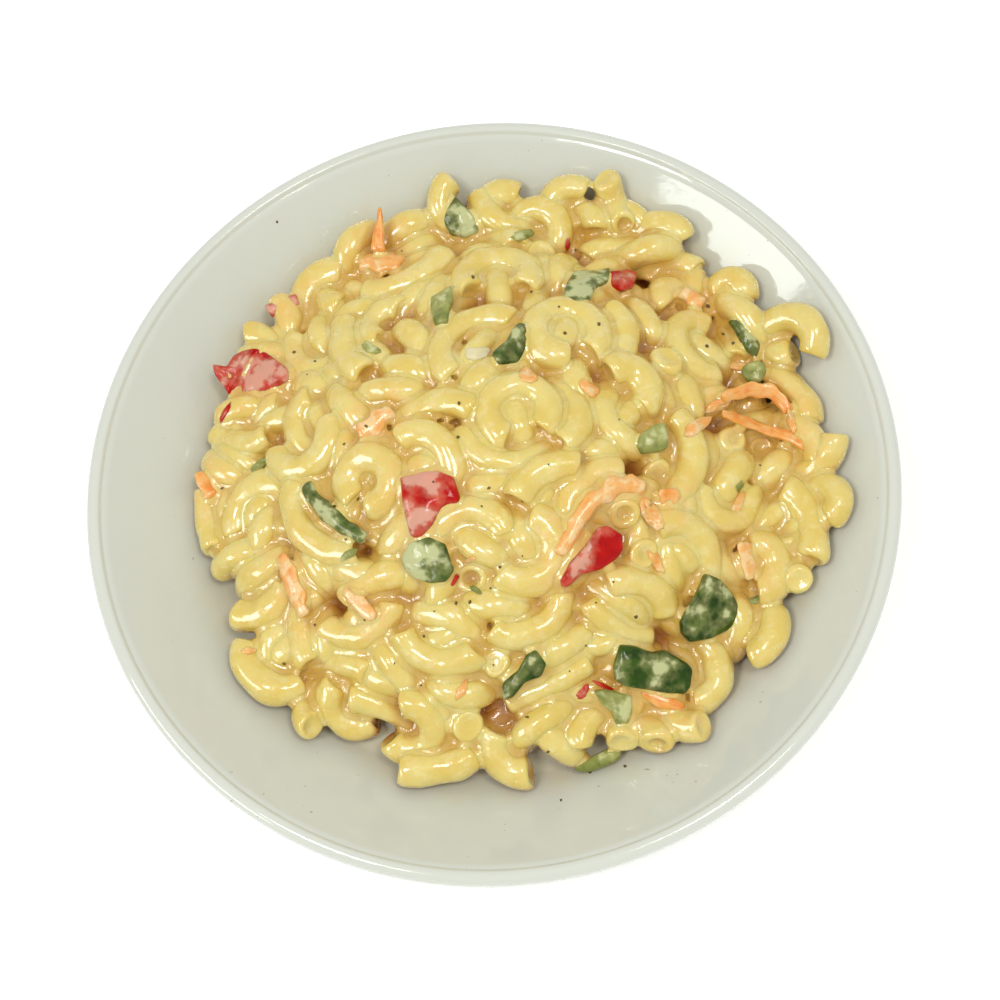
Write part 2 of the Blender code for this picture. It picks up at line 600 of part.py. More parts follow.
def lay_pieces(fixed_points, fixed_radius):
    """Every piece of macaroni on the heap's surface, settled."""
    draw = np.random.default_rng(SEED)
    seen = [seen_piece(pixels) for area in CURVED_PIECES.values() for pixels in area]
    ends = [end_on_piece(*pixels) for pixels in END_ON_PIECES]
    chains = np.array(seen + ends)
    placed = len(chains)
    chains = fill_bare_spots(chains, fixed_points, draw, MOST_FILLERS)
    lifts = draw.uniform(-LIFT_SPREAD, LIFT_SPREAD, len(chains))
    lifts[len(seen):placed] += END_ON_LIFT
    holds = np.where(np.arange(len(chains)) < placed, PLACED_HOLD, FILLER_HOLD)
    return settle(chains, lifts, chains.mean(1), holds, fixed_points, fixed_radius, SETTLE_STEPS)


# The heap's core
def make_core(group):
    """The solid middle: a dome over the dish, a little inside the heap's surface."""
    shape = bmesh.new()
    turns = [2 * pi * k / CORE_SIDES for k in range(CORE_SIDES)]
    shares = [CORE_REACH * (k + 1) / CORE_RINGS for k in range(CORE_RINGS)]

    def ring(share, height, swing=0.0):
        verts = []
        for turn in turns:
            reach = HEAP_RADIUS * (share + swing * cos(turn - SKIRT_HEADING))
            x = HEAP_MIDDLE[0] + reach * cos(turn)
            y = HEAP_MIDDLE[1] + reach * sin(turn)
            verts.append(shape.verts.new((x, y, float(height(x, y)))))
        return verts

    def roof(x, y):
        return heap_top(x, y) - CORE_INSET

    def skirt(x, y):
        return sole(x, y) + SKIRT_HEIGHT

    rings = [ring(share, roof) for share in shares]
    rings.append(ring(SKIRT_REACH, skirt, SKIRT_SWING))
    rings.append(ring(SKIRT_REACH, sole, SKIRT_SWING))
    rings.append(ring(CORE_REACH, sole))
    for inner, outer in zip(rings, rings[1:]):
        for k in range(CORE_SIDES):
            after = (k + 1) % CORE_SIDES
            shape.faces.new((inner[k], inner[after], outer[after], outer[k]))
    peak = shape.verts.new((*HEAP_MIDDLE, float(roof(*HEAP_MIDDLE))))
    for k in range(CORE_SIDES):
        shape.faces.new((rings[0][k], rings[0][(k + 1) % CORE_SIDES], peak))
    shape.faces.new(rings[-1])
    bmesh.ops.recalc_face_normals(shape, faces=shape.faces[:])
    return mesh_object("macaroni", shape, group)


def boolean_with(thing, group, operation):
    """One Boolean with every object of a collection, applied; the objects are then removed."""
    step = thing.modifiers.new("join", "BOOLEAN")
    step.operation = operation
    step.operand_type = "COLLECTION"
    step.collection = group
    step.solver = "MANIFOLD"
    keep_modifiers(thing)
    for other in list(group.objects):
        bpy.data.objects.remove(other)


def keep_largest_body(thing):
    """Drops loose scraps and fills sealed hollows, which are separate closed surfaces."""
    shape = bmesh.new()
    shape.from_mesh(thing.data)
    bmesh.ops.triangulate(shape, faces=shape.faces[:])
    unseen = set(shape.verts)
    bodies = []
    while unseen:
        reached = {unseen.pop()}
        front = list(reached)
        while front:
            vert = front.pop()
            for edge in vert.link_edges:
                other = edge.other_vert(vert)
                if other in unseen:
                    unseen.remove(other)
                    reached.add(other)
                    front.append(other)
        bodies.append(reached)
    bodies.sort(key=len)
    for body in bodies[:-1]:
        bmesh.ops.delete(shape, geom=list(body), context="VERTS")
    shape.to_mesh(thing.data)
    shape.free()


def make_salad(group, cutters):
    kinds = [(GREEN_PEPPERS, material("green_pepper", GREEN_COLOUR, 0.3)),
             (RED_PEPPERS, material("red_pepper", RED_COLOUR, 0.3)),
             (CARROTS, material("carrot", CARROT_COLOUR, 0.45))]
    fixed_points = []
    fixed_radius = []
    for toppings, surface in kinds:
        for name, (places, widths, thickness, roll) in toppings.items():
            topping = strip_solid(name, places, widths, thickness, roll, group, surface)
            keep_modifiers(topping)
            points, _ = strip_grid(places, widths, roll)
            fixed_points.append(points.reshape(-1, 3))
            fixed_radius.append(np.full(points.size // 3, thickness * MM / 2 + TOPPING_ROOM))
    fixed_points = np.concatenate(fixed_points)
    fixed_radius = np.concatenate(fixed_radius)

    heap = make_core(group)
    heap.data.materials.append(material("dressed_macaroni", MACARONI_COLOUR, 0.3))
    for number, chain in enumerate(lay_pieces(fixed_points, fixed_radius)):
        tube_solid("piece_%d" % number, chain, cutters)
    for toppings, _ in kinds:
        for name, (places, widths, thickness, roll) in toppings.items():
            if name not in WITHOUT_PAD:
                strip_pad("pad_" + name, places, widths, thickness, roll, cutters)
    boolean_with(heap, cutters, "UNION")
    for toppings, _ in kinds:
        for name, (places, widths, thickness, roll) in toppings.items():
            room = strip_solid("room_" + name, places, widths, thickness, roll, cutters,
                               spread=GAP)
            keep_modifiers(room)
    boolean_with(heap, cutters, "DIFFERENCE")
    keep_largest_body(heap)
    for face in heap.data.polygons:
        face.material_index = 0
    return heap


clear_scene()
salad = new_collection("pasta_salad")
cutters = new_collection("cutters")
make_dish(salad)
make_salad(salad, cutters)
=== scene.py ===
# Creamy macaroni salad in its shallow white dish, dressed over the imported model.
# Metres, +Z up. The dish stands on z = 0 with its axis on Z, and the photograph was taken from -Y.
import json
from math import cos, pi, radians, sin

import bpy
import numpy as np
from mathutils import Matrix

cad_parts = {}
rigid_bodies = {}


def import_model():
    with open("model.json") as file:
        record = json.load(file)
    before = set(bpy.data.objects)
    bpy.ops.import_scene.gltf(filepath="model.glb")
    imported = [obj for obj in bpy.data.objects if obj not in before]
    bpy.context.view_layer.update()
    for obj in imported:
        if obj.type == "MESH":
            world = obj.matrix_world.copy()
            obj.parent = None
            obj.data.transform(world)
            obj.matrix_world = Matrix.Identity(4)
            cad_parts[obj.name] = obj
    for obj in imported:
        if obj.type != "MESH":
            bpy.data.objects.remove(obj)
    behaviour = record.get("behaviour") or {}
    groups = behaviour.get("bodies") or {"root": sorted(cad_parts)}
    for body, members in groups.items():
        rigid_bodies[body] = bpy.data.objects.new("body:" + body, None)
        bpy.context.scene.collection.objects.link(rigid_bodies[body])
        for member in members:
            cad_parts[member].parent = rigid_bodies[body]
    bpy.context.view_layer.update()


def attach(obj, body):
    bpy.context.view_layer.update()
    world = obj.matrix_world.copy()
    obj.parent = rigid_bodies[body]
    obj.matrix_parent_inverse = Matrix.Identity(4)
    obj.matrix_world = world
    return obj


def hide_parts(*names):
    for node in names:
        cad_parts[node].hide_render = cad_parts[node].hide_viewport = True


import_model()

import openvdb
from mathutils import Matrix, Vector, noise
from mathutils.bvhtree import BVHTree

MM = 0.001

# The camera stands where the photograph was taken from: almost over the dish, a little in front
# of it and turned about its own line of sight.
VIEW_TARGET = (1.7 * MM, -2.4 * MM, 15 * MM)
VIEW_DISTANCE = 0.5
VIEW_HEIGHT_ANGLE = radians(69)
VIEW_ROLL = radians(-10.4)
VIEW_LENS = 65
VIEW_SENSOR = 36
VIEW_BACK = np.array([0, -cos(VIEW_HEIGHT_ANGLE), sin(VIEW_HEIGHT_ANGLE)])
VIEW_RIGHT = (cos(VIEW_ROLL) * np.array([1.0, 0, 0])
              + sin(VIEW_ROLL) * np.array([0, sin(VIEW_HEIGHT_ANGLE), cos(VIEW_HEIGHT_ANGLE)]))
VIEW_UP = np.cross(VIEW_BACK, VIEW_RIGHT)
VIEW_EYE = np.array(VIEW_TARGET) + VIEW_DISTANCE * VIEW_BACK

lens = bpy.data.cameras.new("camera")
lens.lens = VIEW_LENS
lens.sensor_width = VIEW_SENSOR
camera = bpy.data.objects.new("camera", lens)
bpy.context.scene.collection.objects.link(camera)
camera.matrix_world = Matrix((VIEW_RIGHT, VIEW_UP, VIEW_BACK)).transposed().to_4x4()
camera.matrix_world.translation = Vector(VIEW_EYE)
bpy.context.scene.camera = camera


class Signal:
    """One socket of a material; arithmetic on signals adds the nodes that work it out."""

    def __init__(self, socket, tree):
        self.socket = socket
        self.tree = tree

    def node(self, kind, settings, values, output=0):
        """Adds a node of a type: its settings first, then the values or links of its sockets."""
        made = self.tree.nodes.new(kind)
        for name, setting in settings.items():
            setattr(made, name, setting)
        for name, value in values.items():
            if isinstance(value, Signal):
                self.tree.links.new(value.socket, made.inputs[name])
            else:
                made.inputs[name].default_value = value
        return Signal(made.outputs[output], self.tree)

    def math(self, operation, first, second):
        return self.node("ShaderNodeMath", {"operation": operation}, {0: first, 1: second})

    def __add__(self, other):
        return self.math("ADD", self, other)

    def __sub__(self, other):
        return self.math("SUBTRACT", self, other)

    def __rsub__(self, other):
        return self.math("SUBTRACT", other, self)

    def __mul__(self, other):
        return self.math("MULTIPLY", self, other)

    __radd__ = __add__
    __rmul__ = __mul__

    def noise(self, size, detail=2.0, roughness=0.5):
        """Cloudy values from 0 to 1; the signal is a place, and size is in metres."""
        return self.node("ShaderNodeTexNoise", {},
                         {"Vector": self, "Scale": 1 / size, "Detail": detail,
                          "Roughness": roughness})

    def layer(self, name, output=2):
        """A number that the mesh holds for each point, or its vector with output 1."""
        return self.node("ShaderNodeAttribute", {"attribute_name": name}, {}, output)

    def between(self, low, high):
        """0 where the signal is low, 1 where it is high, smooth in between."""
        return self.node("ShaderNodeMapRange", {"interpolation_type": "SMOOTHSTEP"},
                         {"Value": self, "From Min": low, "From Max": high})

    def blend(self, first, second):
        """From the first colour to the second as the signal goes from 0 to 1."""
        return self.node("ShaderNodeMix", {"data_type": "RGBA"},
                         {0: self, 6: first, 7: second}, output=2)

    def feed(self, shader, name):
        self.tree.links.new(self.socket, shader.inputs[name])


def start_material(name, constants):
    """A glossy material with what is the same all over it, and the place signal it starts from."""
    surface = bpy.data.materials.new(name)
    surface.use_nodes = True
    shader = surface.node_tree.nodes["Principled BSDF"]
    for socket, value in constants.items():
        shader.inputs[socket].default_value = value
    tree = surface.node_tree
    place = tree.nodes.new("ShaderNodeTexCoord")
    return surface, shader, Signal(place.outputs["Object"], tree)


def bump_from(shader, height, depth):
    """Small relief from a height signal; depth in metres."""
    height.node("ShaderNodeBump", {}, {"Height": height, "Strength": 1.0, "Distance": depth}
                ).feed(shader, "Normal")


def add_mesh(name, points, faces, surfaces):
    """A smooth mesh object from points and faces, with its materials."""
    mesh = bpy.data.meshes.new(name)
    mesh.from_pydata(np.asarray(points).tolist(), [], faces)
    mesh.polygons.foreach_set("use_smooth", [True] * len(mesh.polygons))
    for surface in surfaces:
        mesh.materials.append(surface)
    thing = bpy.data.objects.new(name, mesh)
    bpy.context.scene.collection.objects.link(thing)
    return thing


# The room: a plain pale floor, even light from all round, one low window to the left, which the
# glaze mirrors on the dish's far right wall, and two lamps overhead that glint on the dressing.
FLOOR_SIZE = 3.0
FLOOR_GLOW = 0.22
ROOM_BRIGHTNESS = 0.60
LIGHT_DISTANCE = 1.3
LIGHTS = {      # heading and height in degrees, size in metres, power in watts, colour
    "window": (197, 27.5, (0.72, 0.40), 7.6, (0.95, 1.0, 0.97)),
    "left_lamp": (212, 66, (0.30, 0.30), 4.6, (1.0, 1.0, 1.0)),
    "right_lamp": (325, 74, (0.30, 0.30), 3.8, (1.0, 0.99, 0.94)),
}

half = FLOOR_SIZE / 2
floor = add_mesh("floor", [(-half, -half, 0), (half, -half, 0), (half, half, 0), (-half, half, 0)],
                 [(0, 1, 2, 3)], [])
floor_paint, floor_shader, floor_place = start_material("pale_floor", {
    "Roughness": 0.9, "Emission Color": (1, 1, 1, 1), "Emission Strength": FLOOR_GLOW})
floor_place.noise(0.4).blend((0.93, 0.93, 0.93, 1), (0.97, 0.97, 0.97, 1)).feed(
    floor_shader, "Base Color")
floor.data.materials.append(floor_paint)

room = bpy.data.worlds.new("room")
room.use_nodes = True
room.node_tree.nodes["Background"].inputs["Color"].default_value = (1.0, 1.0, 0.99, 1)
room.node_tree.nodes["Background"].inputs["Strength"].default_value = ROOM_BRIGHTNESS
bpy.context.scene.world = room
bpy.context.scene.view_settings.view_transform = "Standard"

for name, (heading, height, size, power, colour) in LIGHTS.items():
    lamp = bpy.data.lights.new(name, "AREA")
    lamp.shape = "RECTANGLE"
    lamp.size, lamp.size_y = size
    lamp.energy = power
    lamp.color = colour
    thing = bpy.data.objects.new(name, lamp)
    bpy.context.scene.collection.objects.link(thing)
    across = cos(radians(height))
    away = Vector((cos(radians(heading)) * across, sin(radians(heading)) * across,
                   sin(radians(height))))
    thing.location = away * LIGHT_DISTANCE
    thing.rotation_euler = away.to_track_quat("Z", "Y").to_euler()
    thing.visible_diffuse = name != "window"


# The dish: white stoneware turned on a wheel, with a flat well, a curved wall, a rounded lip and
# a foot ring, under a clear warm glaze.
DISH_RADIUS = 110 * MM
RIM_HEIGHT = 31 * MM
FLOOR_HEIGHT = 6 * MM
FLOOR_UNDERSIDE = 2.2 * MM
WELL_RADIUS = 77 * MM
WALL_CURVE = 1.15
WALL_THICKNESS = 3.6 * MM
LIP_ROUND = 2.3 * MM
LIP_DROP = 2.4 * MM
FOOT_RADIUS = 64 * MM
FOOT_WIDTH = 4.5 * MM
WALL_STEPS = 24
LIP_STEPS = 11
LIP_TURN = 125                      # degrees of the lip's round, from the wall to the outside
OUTSIDE_STEPS = 11
OUTSIDE_TOP = 0.72                  # the outside starts at this share of the wall's reach,
OUTSIDE_STEP = 0.06                 # and goes down by this share a step
DISH_SIDES = 192
HEAP_MIDDLE = (4.3 * MM, 5.3 * MM)  # the salad lies a little off the dish's axis
SMEAR_EDGE = (88 * MM, 101 * MM)    # dressing is smeared on the dish up to about here
WALL_REACH = DISH_RADIUS - 2 * LIP_ROUND - WELL_RADIUS
WALL_RISE = RIM_HEIGHT - LIP_ROUND * 0.7 - FLOOR_HEIGHT


def dish_surface(radius):
    """Height of the dish's upper face at a distance from its axis."""
    share = np.clip((radius - WELL_RADIUS) / WALL_REACH, 0, 1)
    return FLOOR_HEIGHT + WALL_RISE * share ** WALL_CURVE


def dish_outline():
    """From the middle of the floor over the lip and down the outside to the underside."""
    line = [(0, FLOOR_HEIGHT), (30 * MM, FLOOR_HEIGHT), (60 * MM, FLOOR_HEIGHT),
            (WELL_RADIUS - 4 * MM, FLOOR_HEIGHT)]
    for step in range(WALL_STEPS + 1):
        radius = WELL_RADIUS + WALL_REACH * step / WALL_STEPS
        line.append((radius, float(dish_surface(radius))))
    line += [(radius + 0.35 * MM, line[-1][1] + 0.10 * MM),
             (radius + 0.70 * MM, line[-1][1] + 0.40 * MM)]
    for step in range(LIP_STEPS + 1):
        turn = radians(LIP_TURN - LIP_TURN * step / LIP_STEPS)
        line.append((DISH_RADIUS - LIP_ROUND + LIP_ROUND * cos(turn),
                     RIM_HEIGHT - LIP_ROUND + LIP_ROUND * sin(turn)))
    below = RIM_HEIGHT - LIP_ROUND - LIP_DROP
    line += [(DISH_RADIUS, below + 0.5 * MM), (DISH_RADIUS - 0.15 * MM, below + 0.1 * MM),
             (DISH_RADIUS - 0.6 * MM, below - 0.4 * MM)]
    for step in range(OUTSIDE_STEPS):
        share = OUTSIDE_TOP - OUTSIDE_STEP * step
        radius = WELL_RADIUS + WALL_REACH * share
        line.append((radius + WALL_THICKNESS / 2,
                     float(dish_surface(radius)) - WALL_THICKNESS * 0.9))
    inner_foot = FOOT_RADIUS - FOOT_WIDTH
    line += [(FOOT_RADIUS + 3 * MM, FLOOR_UNDERSIDE + 0.1 * MM),
             (FOOT_RADIUS + 1 * MM, FLOOR_UNDERSIDE), (FOOT_RADIUS + 0.3 * MM, 0.4 * MM),
             (FOOT_RADIUS - 0.1 * MM, 0), (inner_foot + 0.1 * MM, 0),
             (inner_foot - 0.3 * MM, 0.4 * MM), (inner_foot - 1 * MM, FLOOR_UNDERSIDE),
             (0, FLOOR_UNDERSIDE)]
    return line


def dish_glaze():
    """Warm white glaze with a few specks, wiping marks, and dressing smeared round the heap."""
    surface, shader, place = start_material("white_glaze", {
        "IOR": 1.5, "Coat Roughness": 0.03, "Subsurface Weight": 0.06,
        "Subsurface Radius": (0.004, 0.003, 0.002), "Subsurface Scale": 1.0})
    colour = place.noise(0.05, 3.0).blend((0.665, 0.690, 0.610, 1), (0.705, 0.730, 0.655, 1))
    offset = place.node("ShaderNodeVectorMath", {"operation": "SUBTRACT"},
                        {0: place, 1: (*HEAP_MIDDLE, 0)})
    flat = offset.node("ShaderNodeVectorMath", {"operation": "MULTIPLY"}, {0: offset, 1: (1, 1, 0)})
    reach = flat.node("ShaderNodeVectorMath", {"operation": "LENGTH"}, {0: flat}, output=1)
    ragged = reach + place.noise(11 * MM, 3.0) * (14 * MM)
    smear = 1 - ragged.between(*SMEAR_EDGE)
    colour = (smear * 0.55).blend(colour, (0.70, 0.63, 0.40, 1))
    specks = (place.noise(1.6 * MM, 1.0).between(0.745, 0.765)
              * place.noise(23 * MM).between(0.55, 0.62))
    (specks * 0.5).blend(colour, (0.20, 0.17, 0.11, 1)).feed(shader, "Base Color")
    wiped = place.node("ShaderNodeMapping", {}, {
        "Vector": place, "Rotation": (0, 0, radians(40)), "Scale": (0.10, 1.0, 1.0)})
    streaks = (wiped.noise(1.4 * MM, 3.0).between(0.52, 0.68)
               * place.noise(30 * MM).between(0.4, 0.6))
    (0.075 + streaks * 0.12 + smear * 0.10).feed(shader, "Roughness")
    bump_from(shader, place.noise(9 * MM) + 0.12 * streaks, 0.05 * MM)
    return surface


outline = dish_outline()
dish = add_mesh("dish_glazed", [(radius, 0, height) for radius, height in outline], [],
                [dish_glaze()])
dish.data.edges.add(len(outline) - 1)
dish.data.edges.foreach_set("vertices", [k for i in range(len(outline) - 1) for k in (i, i + 1)])
turning = dish.modifiers.new("turning", "SCREW")
turning.steps = turning.render_steps = DISH_SIDES
turning.use_merge_vertices = True
turning.merge_threshold = 0.01 * MM
turning.use_smooth_shade = True
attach(dish, "root")
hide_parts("dish")


# The shape that the salad is heaped to: a dome that all pieces reach up to. What the photograph
# shows is placed on it by the pixel that it is seen at.
HEAP_RADIUS = 87.5 * MM
HEAP_EDGE = 9.6 * MM
HEAP_CROWN = 35 * MM
HEAP_FLATNESS = 1.15
TUBE_RADIUS = 4.2 * MM
GAP = 0.3 * MM
WALL_CLEARANCE = 1.5 * MM
VIEW_PIXELS = 1000
SEARCH_HEIGHT = 0.1                 # clear over the heap
SEARCH_STEPS = 40


def heap_top(x, y):
    """Height of the dome over a place."""
    out = np.hypot(x - HEAP_MIDDLE[0], y - HEAP_MIDDLE[1]) / HEAP_RADIUS
    crown = np.clip(1 - out * out, 0, 1) ** HEAP_FLATNESS
    return dish_surface(np.hypot(x, y)) + HEAP_EDGE + HEAP_CROWN * crown


def unit(vectors):
    return vectors / np.linalg.norm(vectors, axis=-1, keepdims=True)


def upward(surface, x, y, step=1.5 * MM):
    """Unit normals of a height surface."""
    slope_x = (surface(x + step, y) - surface(x - step, y)) / (2 * step)
    slope_y = (surface(x, y + step) - surface(x, y - step)) / (2 * step)
    return unit(np.stack([-slope_x, -slope_y, np.ones_like(slope_x)], -1))


def dish_top(x, y):
    """The dish's upper face as a height over a place."""
    return dish_surface(np.hypot(x, y))


def sole(x, y):
    """Underside of the salad, clear of the dish."""
    return dish_surface(np.hypot(x, y) + WALL_CLEARANCE) + GAP


def heap_slope(x, y):
    """Normals of the dome, evened out over the width of a piece."""
    return upward(heap_top, x, y, 2 * TUBE_RADIUS)


def line_of_sight(u, v):
    """The way from the camera through a pixel of the photograph."""
    scale = VIEW_SENSOR / VIEW_LENS / VIEW_PIXELS
    middle = VIEW_PIXELS / 2
    return -VIEW_BACK + (u - middle) * scale * VIEW_RIGHT + (middle - v) * scale * VIEW_UP


def spot(u, v, height):
    """The point seen at a pixel, at a height above the heap's dome."""
    ray = line_of_sight(u, v)
    near = (SEARCH_HEIGHT - VIEW_EYE[2]) / ray[2]
    far = -VIEW_EYE[2] / ray[2]
    for _ in range(SEARCH_STEPS):
        reach = (near + far) / 2
        point = VIEW_EYE + ray * reach
        if point[2] > heap_top(point[0], point[1]) + height:
            near = reach
        else:
            far = reach
    return point


# The vegetables are cut strips and diced pieces that lie on the heap, most of them smeared with
# dressing. Each strip is swept along its middle line with a rounded, slightly uneven outline.
STRIP_STEP = 5.0 * MM
STRIP_RING_STEP = 0.9 * MM
STRIP_SIDES = 28
STRIP_ROUNDING = 0.7 * MM
SLANT_REACH = 4 * MM
RAGGED_SIZE = 3.2 * MM
SWELLING = 0.35 * MM
SWELLING_SIZE = 5 * MM
PEPPER_CAMBER = 0.9 * MM
SHRED_WIDTH = 5                     # in mm; wider strips are bowed like a pepper's wall
RIM_WIDTH = 1.8 * MM


def strip_path(places):
    """A smooth line through a strip's places, and the dome's normals along it."""
    corners = np.array([spot(u, v, height * MM) for u, v, height in places])
    lengths = np.linalg.norm(np.diff(corners, axis=0), axis=1)
    steps = max(3, int(round(lengths.sum() / STRIP_STEP)))
    where = np.linspace(0, len(corners) - 1, steps + 1)
    known = np.arange(len(corners))
    path = np.stack([np.interp(where, known, corners[:, k]) for k in range(3)], 1)
    for _ in range(3 if len(corners) > 2 else 0):
        path[1:-1] = 0.5 * path[1:-1] + 0.25 * (path[:-2] + path[2:])
    return path, heap_slope(path[:, 0], path[:, 1])


def strip_frame(places, widths, roll):
    """Middle line, side and normal directions and width along a strip."""
    path, normal = strip_path(places)
    along = unit(np.gradient(path, axis=0))
    side = unit(np.cross(normal, along))
    normal = np.cross(along, side)
    tilt = radians(roll)
    side, normal = cos(tilt) * side + sin(tilt) * normal, cos(tilt) * normal - sin(tilt) * side
    where = np.linspace(0, len(widths) - 1, len(path))
    width = np.interp(where, np.arange(len(widths)), np.array(widths) * MM)
    return path, side, normal, width


def strip_points(places, widths, roll):
    """The few points that the settling pasta keeps away from."""
    path, side, normal, width = strip_frame(places, widths, roll)
    wide = max(widths) > SHRED_WIDTH
    camber = PEPPER_CAMBER if wide else 0
    across = (-1, 0, 1) if wide else (-1, 1)
    grid = [path + (k * width / 2)[:, None] * side - camber * (k * k) * normal for k in across]
    return np.stack(grid, 1)


def finer(rows, count):
    """More rows between a strip's own, on a smooth curve through them."""
    where = np.linspace(0, len(rows) - 1, count)
    first = np.clip(np.floor(where).astype(int), 0, len(rows) - 2)
    share = (where - first)[:, None]
    rows = rows.reshape(len(rows), -1)
    before = rows[np.clip(first - 1, 0, None)]
    start, end = rows[first], rows[first + 1]
    after = rows[np.clip(first + 2, None, len(rows) - 1)]
    return 0.5 * (2 * start + (end - before) * share
                  + (2 * before - 5 * start + 4 * end - after) * share ** 2
                  + (3 * start - before - 3 * end + after) * share ** 3)


def wobble(point, size, seed):
    """Smooth random value about 0 at a point."""
    return noise.noise(Vector(point) / size + Vector((seed, 2.3 * seed, -seed)))


def cut_strip(places, widths, thickness, roll, seed, ragged, squareness):
    """Rings of a swept strip, its ends drawn in and cut at a slant.

    With each point come its place in the strip's own grain, and how far inside the edge it is.
    """
    path, side, normal, width = strip_frame(places, widths, roll)
    length = np.linalg.norm(np.diff(path, axis=0), axis=1).sum()
    count = max(12, int(length / STRIP_RING_STEP))
    path, side, normal = finer(path, count), finer(side, count), finer(normal, count)
    width = finer(width[:, None], count)[:, 0]
    camber = PEPPER_CAMBER if max(widths) > SHRED_WIDTH else 0
    along = unit(np.gradient(path, axis=0))
    turns = np.linspace(-0.5 * pi, 1.5 * pi, STRIP_SIDES, endpoint=False)
    reach = np.sign(np.cos(turns)) * np.abs(np.cos(turns)) ** squareness
    lift = np.sign(np.sin(turns)) * np.abs(np.sin(turns)) ** squareness
    rounding = min(0.45 * thickness * MM, STRIP_ROUNDING)
    middle_share = np.linspace(0, 1, count) * length
    from_end = np.minimum(middle_share, length - middle_share)
    drawn_in = np.sqrt(np.clip(1 - (1 - np.clip(from_end / rounding, 0, 1)) ** 2, 0, 1))
    slant = [wobble(corner, 1, seed) * 0.5 for corner in ((seed, 0, 0), (0, seed, 0))]
    rings, grain, inside = [], [], []
    for i in range(count):
        height = thickness * MM / 2 * (0.35 + 0.65 * drawn_in[i])
        half_width = width[i] / 2 - rounding * (1 - drawn_in[i])
        cut = slant[0] if i < count / 2 else slant[1]
        near_end = max(0.0, 1 - from_end[i] / SLANT_REACH)
        ring = []
        for turn, across, up in zip(turns, reach, lift):
            base = path[i] + across * half_width * side[i]
            edge = 1 + ragged * wobble(base, RAGGED_SIZE, seed) * abs(across)
            point = (path[i] + across * half_width * edge * side[i]
                     + (up * height - camber * across * across) * normal[i]
                     + cut * near_end * across * half_width * along[i])
            ring.append(point + SWELLING * wobble(point, SWELLING_SIZE, seed + 7) * normal[i])
            grain.append((middle_share[i], across * half_width, up * height))
            inside.append(min(from_end[i], (1 - abs(across)) * half_width) / RIM_WIDTH)
        rings.append(ring)
    return np.array(rings), np.array(grain), np.clip(inside, 0, 1)


def sweep_faces(rows, columns, first=0):
    """Quads between closed rings, and a face on each end."""
    faces = []
    for i in range(rows - 1):
        for k in range(columns):
            after = (k + 1) % columns
            faces.append((first + i * columns + k, first + i * columns + after,
                          first + (i + 1) * columns + after, first + (i + 1) * columns + k))
    faces.append(tuple(first + k for k in reversed(range(columns))))
    faces.append(tuple(first + (rows - 1) * columns + k for k in range(columns)))
    return faces


def mark_points(thing, label, values):
    """Keeps a number or a vector for each point of a mesh, for its material to read."""
    kind, field = ("FLOAT_VECTOR", "vector") if values.ndim > 1 else ("FLOAT", "value")
    layer = thing.data.attributes.new(label, kind, "POINT")
    layer.data.foreach_set(field, values.astype(np.float32).ravel())


def lay_piece(name, rings, layers, surfaces, under=None):
    """A vegetable piece as an object over its CAD node; faces turned under get the flesh."""
    rows, columns = rings.shape[:2]
    thing = add_mesh(name + "_cut", rings.reshape(-1, 3), sweep_faces(rows, columns), surfaces)
    for label, values in layers.items():
        mark_points(thing, label, values)
    if under is not None:
        for face in thing.data.polygons:
            if np.mean([under[k] for k in face.vertices]) < 0:
                face.material_index = 1
    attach(thing, "root")
    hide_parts(name)


# The peppers are diced by knife: pieces of the wall with a bowed face, soft edges and a fold here
# and there. Each is cut to the outline that it shows, and dressing lies on it in places.
PIXELS_A_MM = 3.71
CUT_STEP = 2.6
CUT_ROUNDING = 0.5 * MM
CUT_RINGS = (0.02, 0.2, 0.4, 0.6, 0.75, 0.86, 0.93, 0.975, 1.0)
FOLD_WIDTH = 1.1                    # in mm
BOW_REACH = 4 * MM
SKIN_BUMPS = ((4.5 * MM, 0.55), (1.9 * MM, 0.18))     # size, and height in mm


def smooth_outline(corners):
    """More points along a cut outline in pixels, its corners a little rounded."""
    corners = np.array(corners, dtype=float)
    following = np.roll(corners, -1, axis=0)
    turn = (corners[:, 0] * following[:, 1] - corners[:, 1] * following[:, 0]).sum()
    if turn < 0:
        corners = corners[::-1]
        following = np.roll(corners, -1, axis=0)
    points = []
    for start, end in zip(corners, following):
        steps = max(1, int(round(np.hypot(*(end - start)) / CUT_STEP)))
        points += [start + (end - start) * k / steps for k in range(steps)]
    points = np.array(points)
    return 0.5 * points + 0.25 * (np.roll(points, 1, axis=0) + np.roll(points, -1, axis=0))


def from_line(points, start, end):
    """How far each pixel is from a line between two pixels, and how far along it it lies."""
    start, end = np.array(start, dtype=float), np.array(end, dtype=float)
    along = np.clip(((points - start) @ (end - start)) / ((end - start) @ (end - start)), 0, 1)
    return np.linalg.norm(points - start - along[:, None] * (end - start), axis=1), along


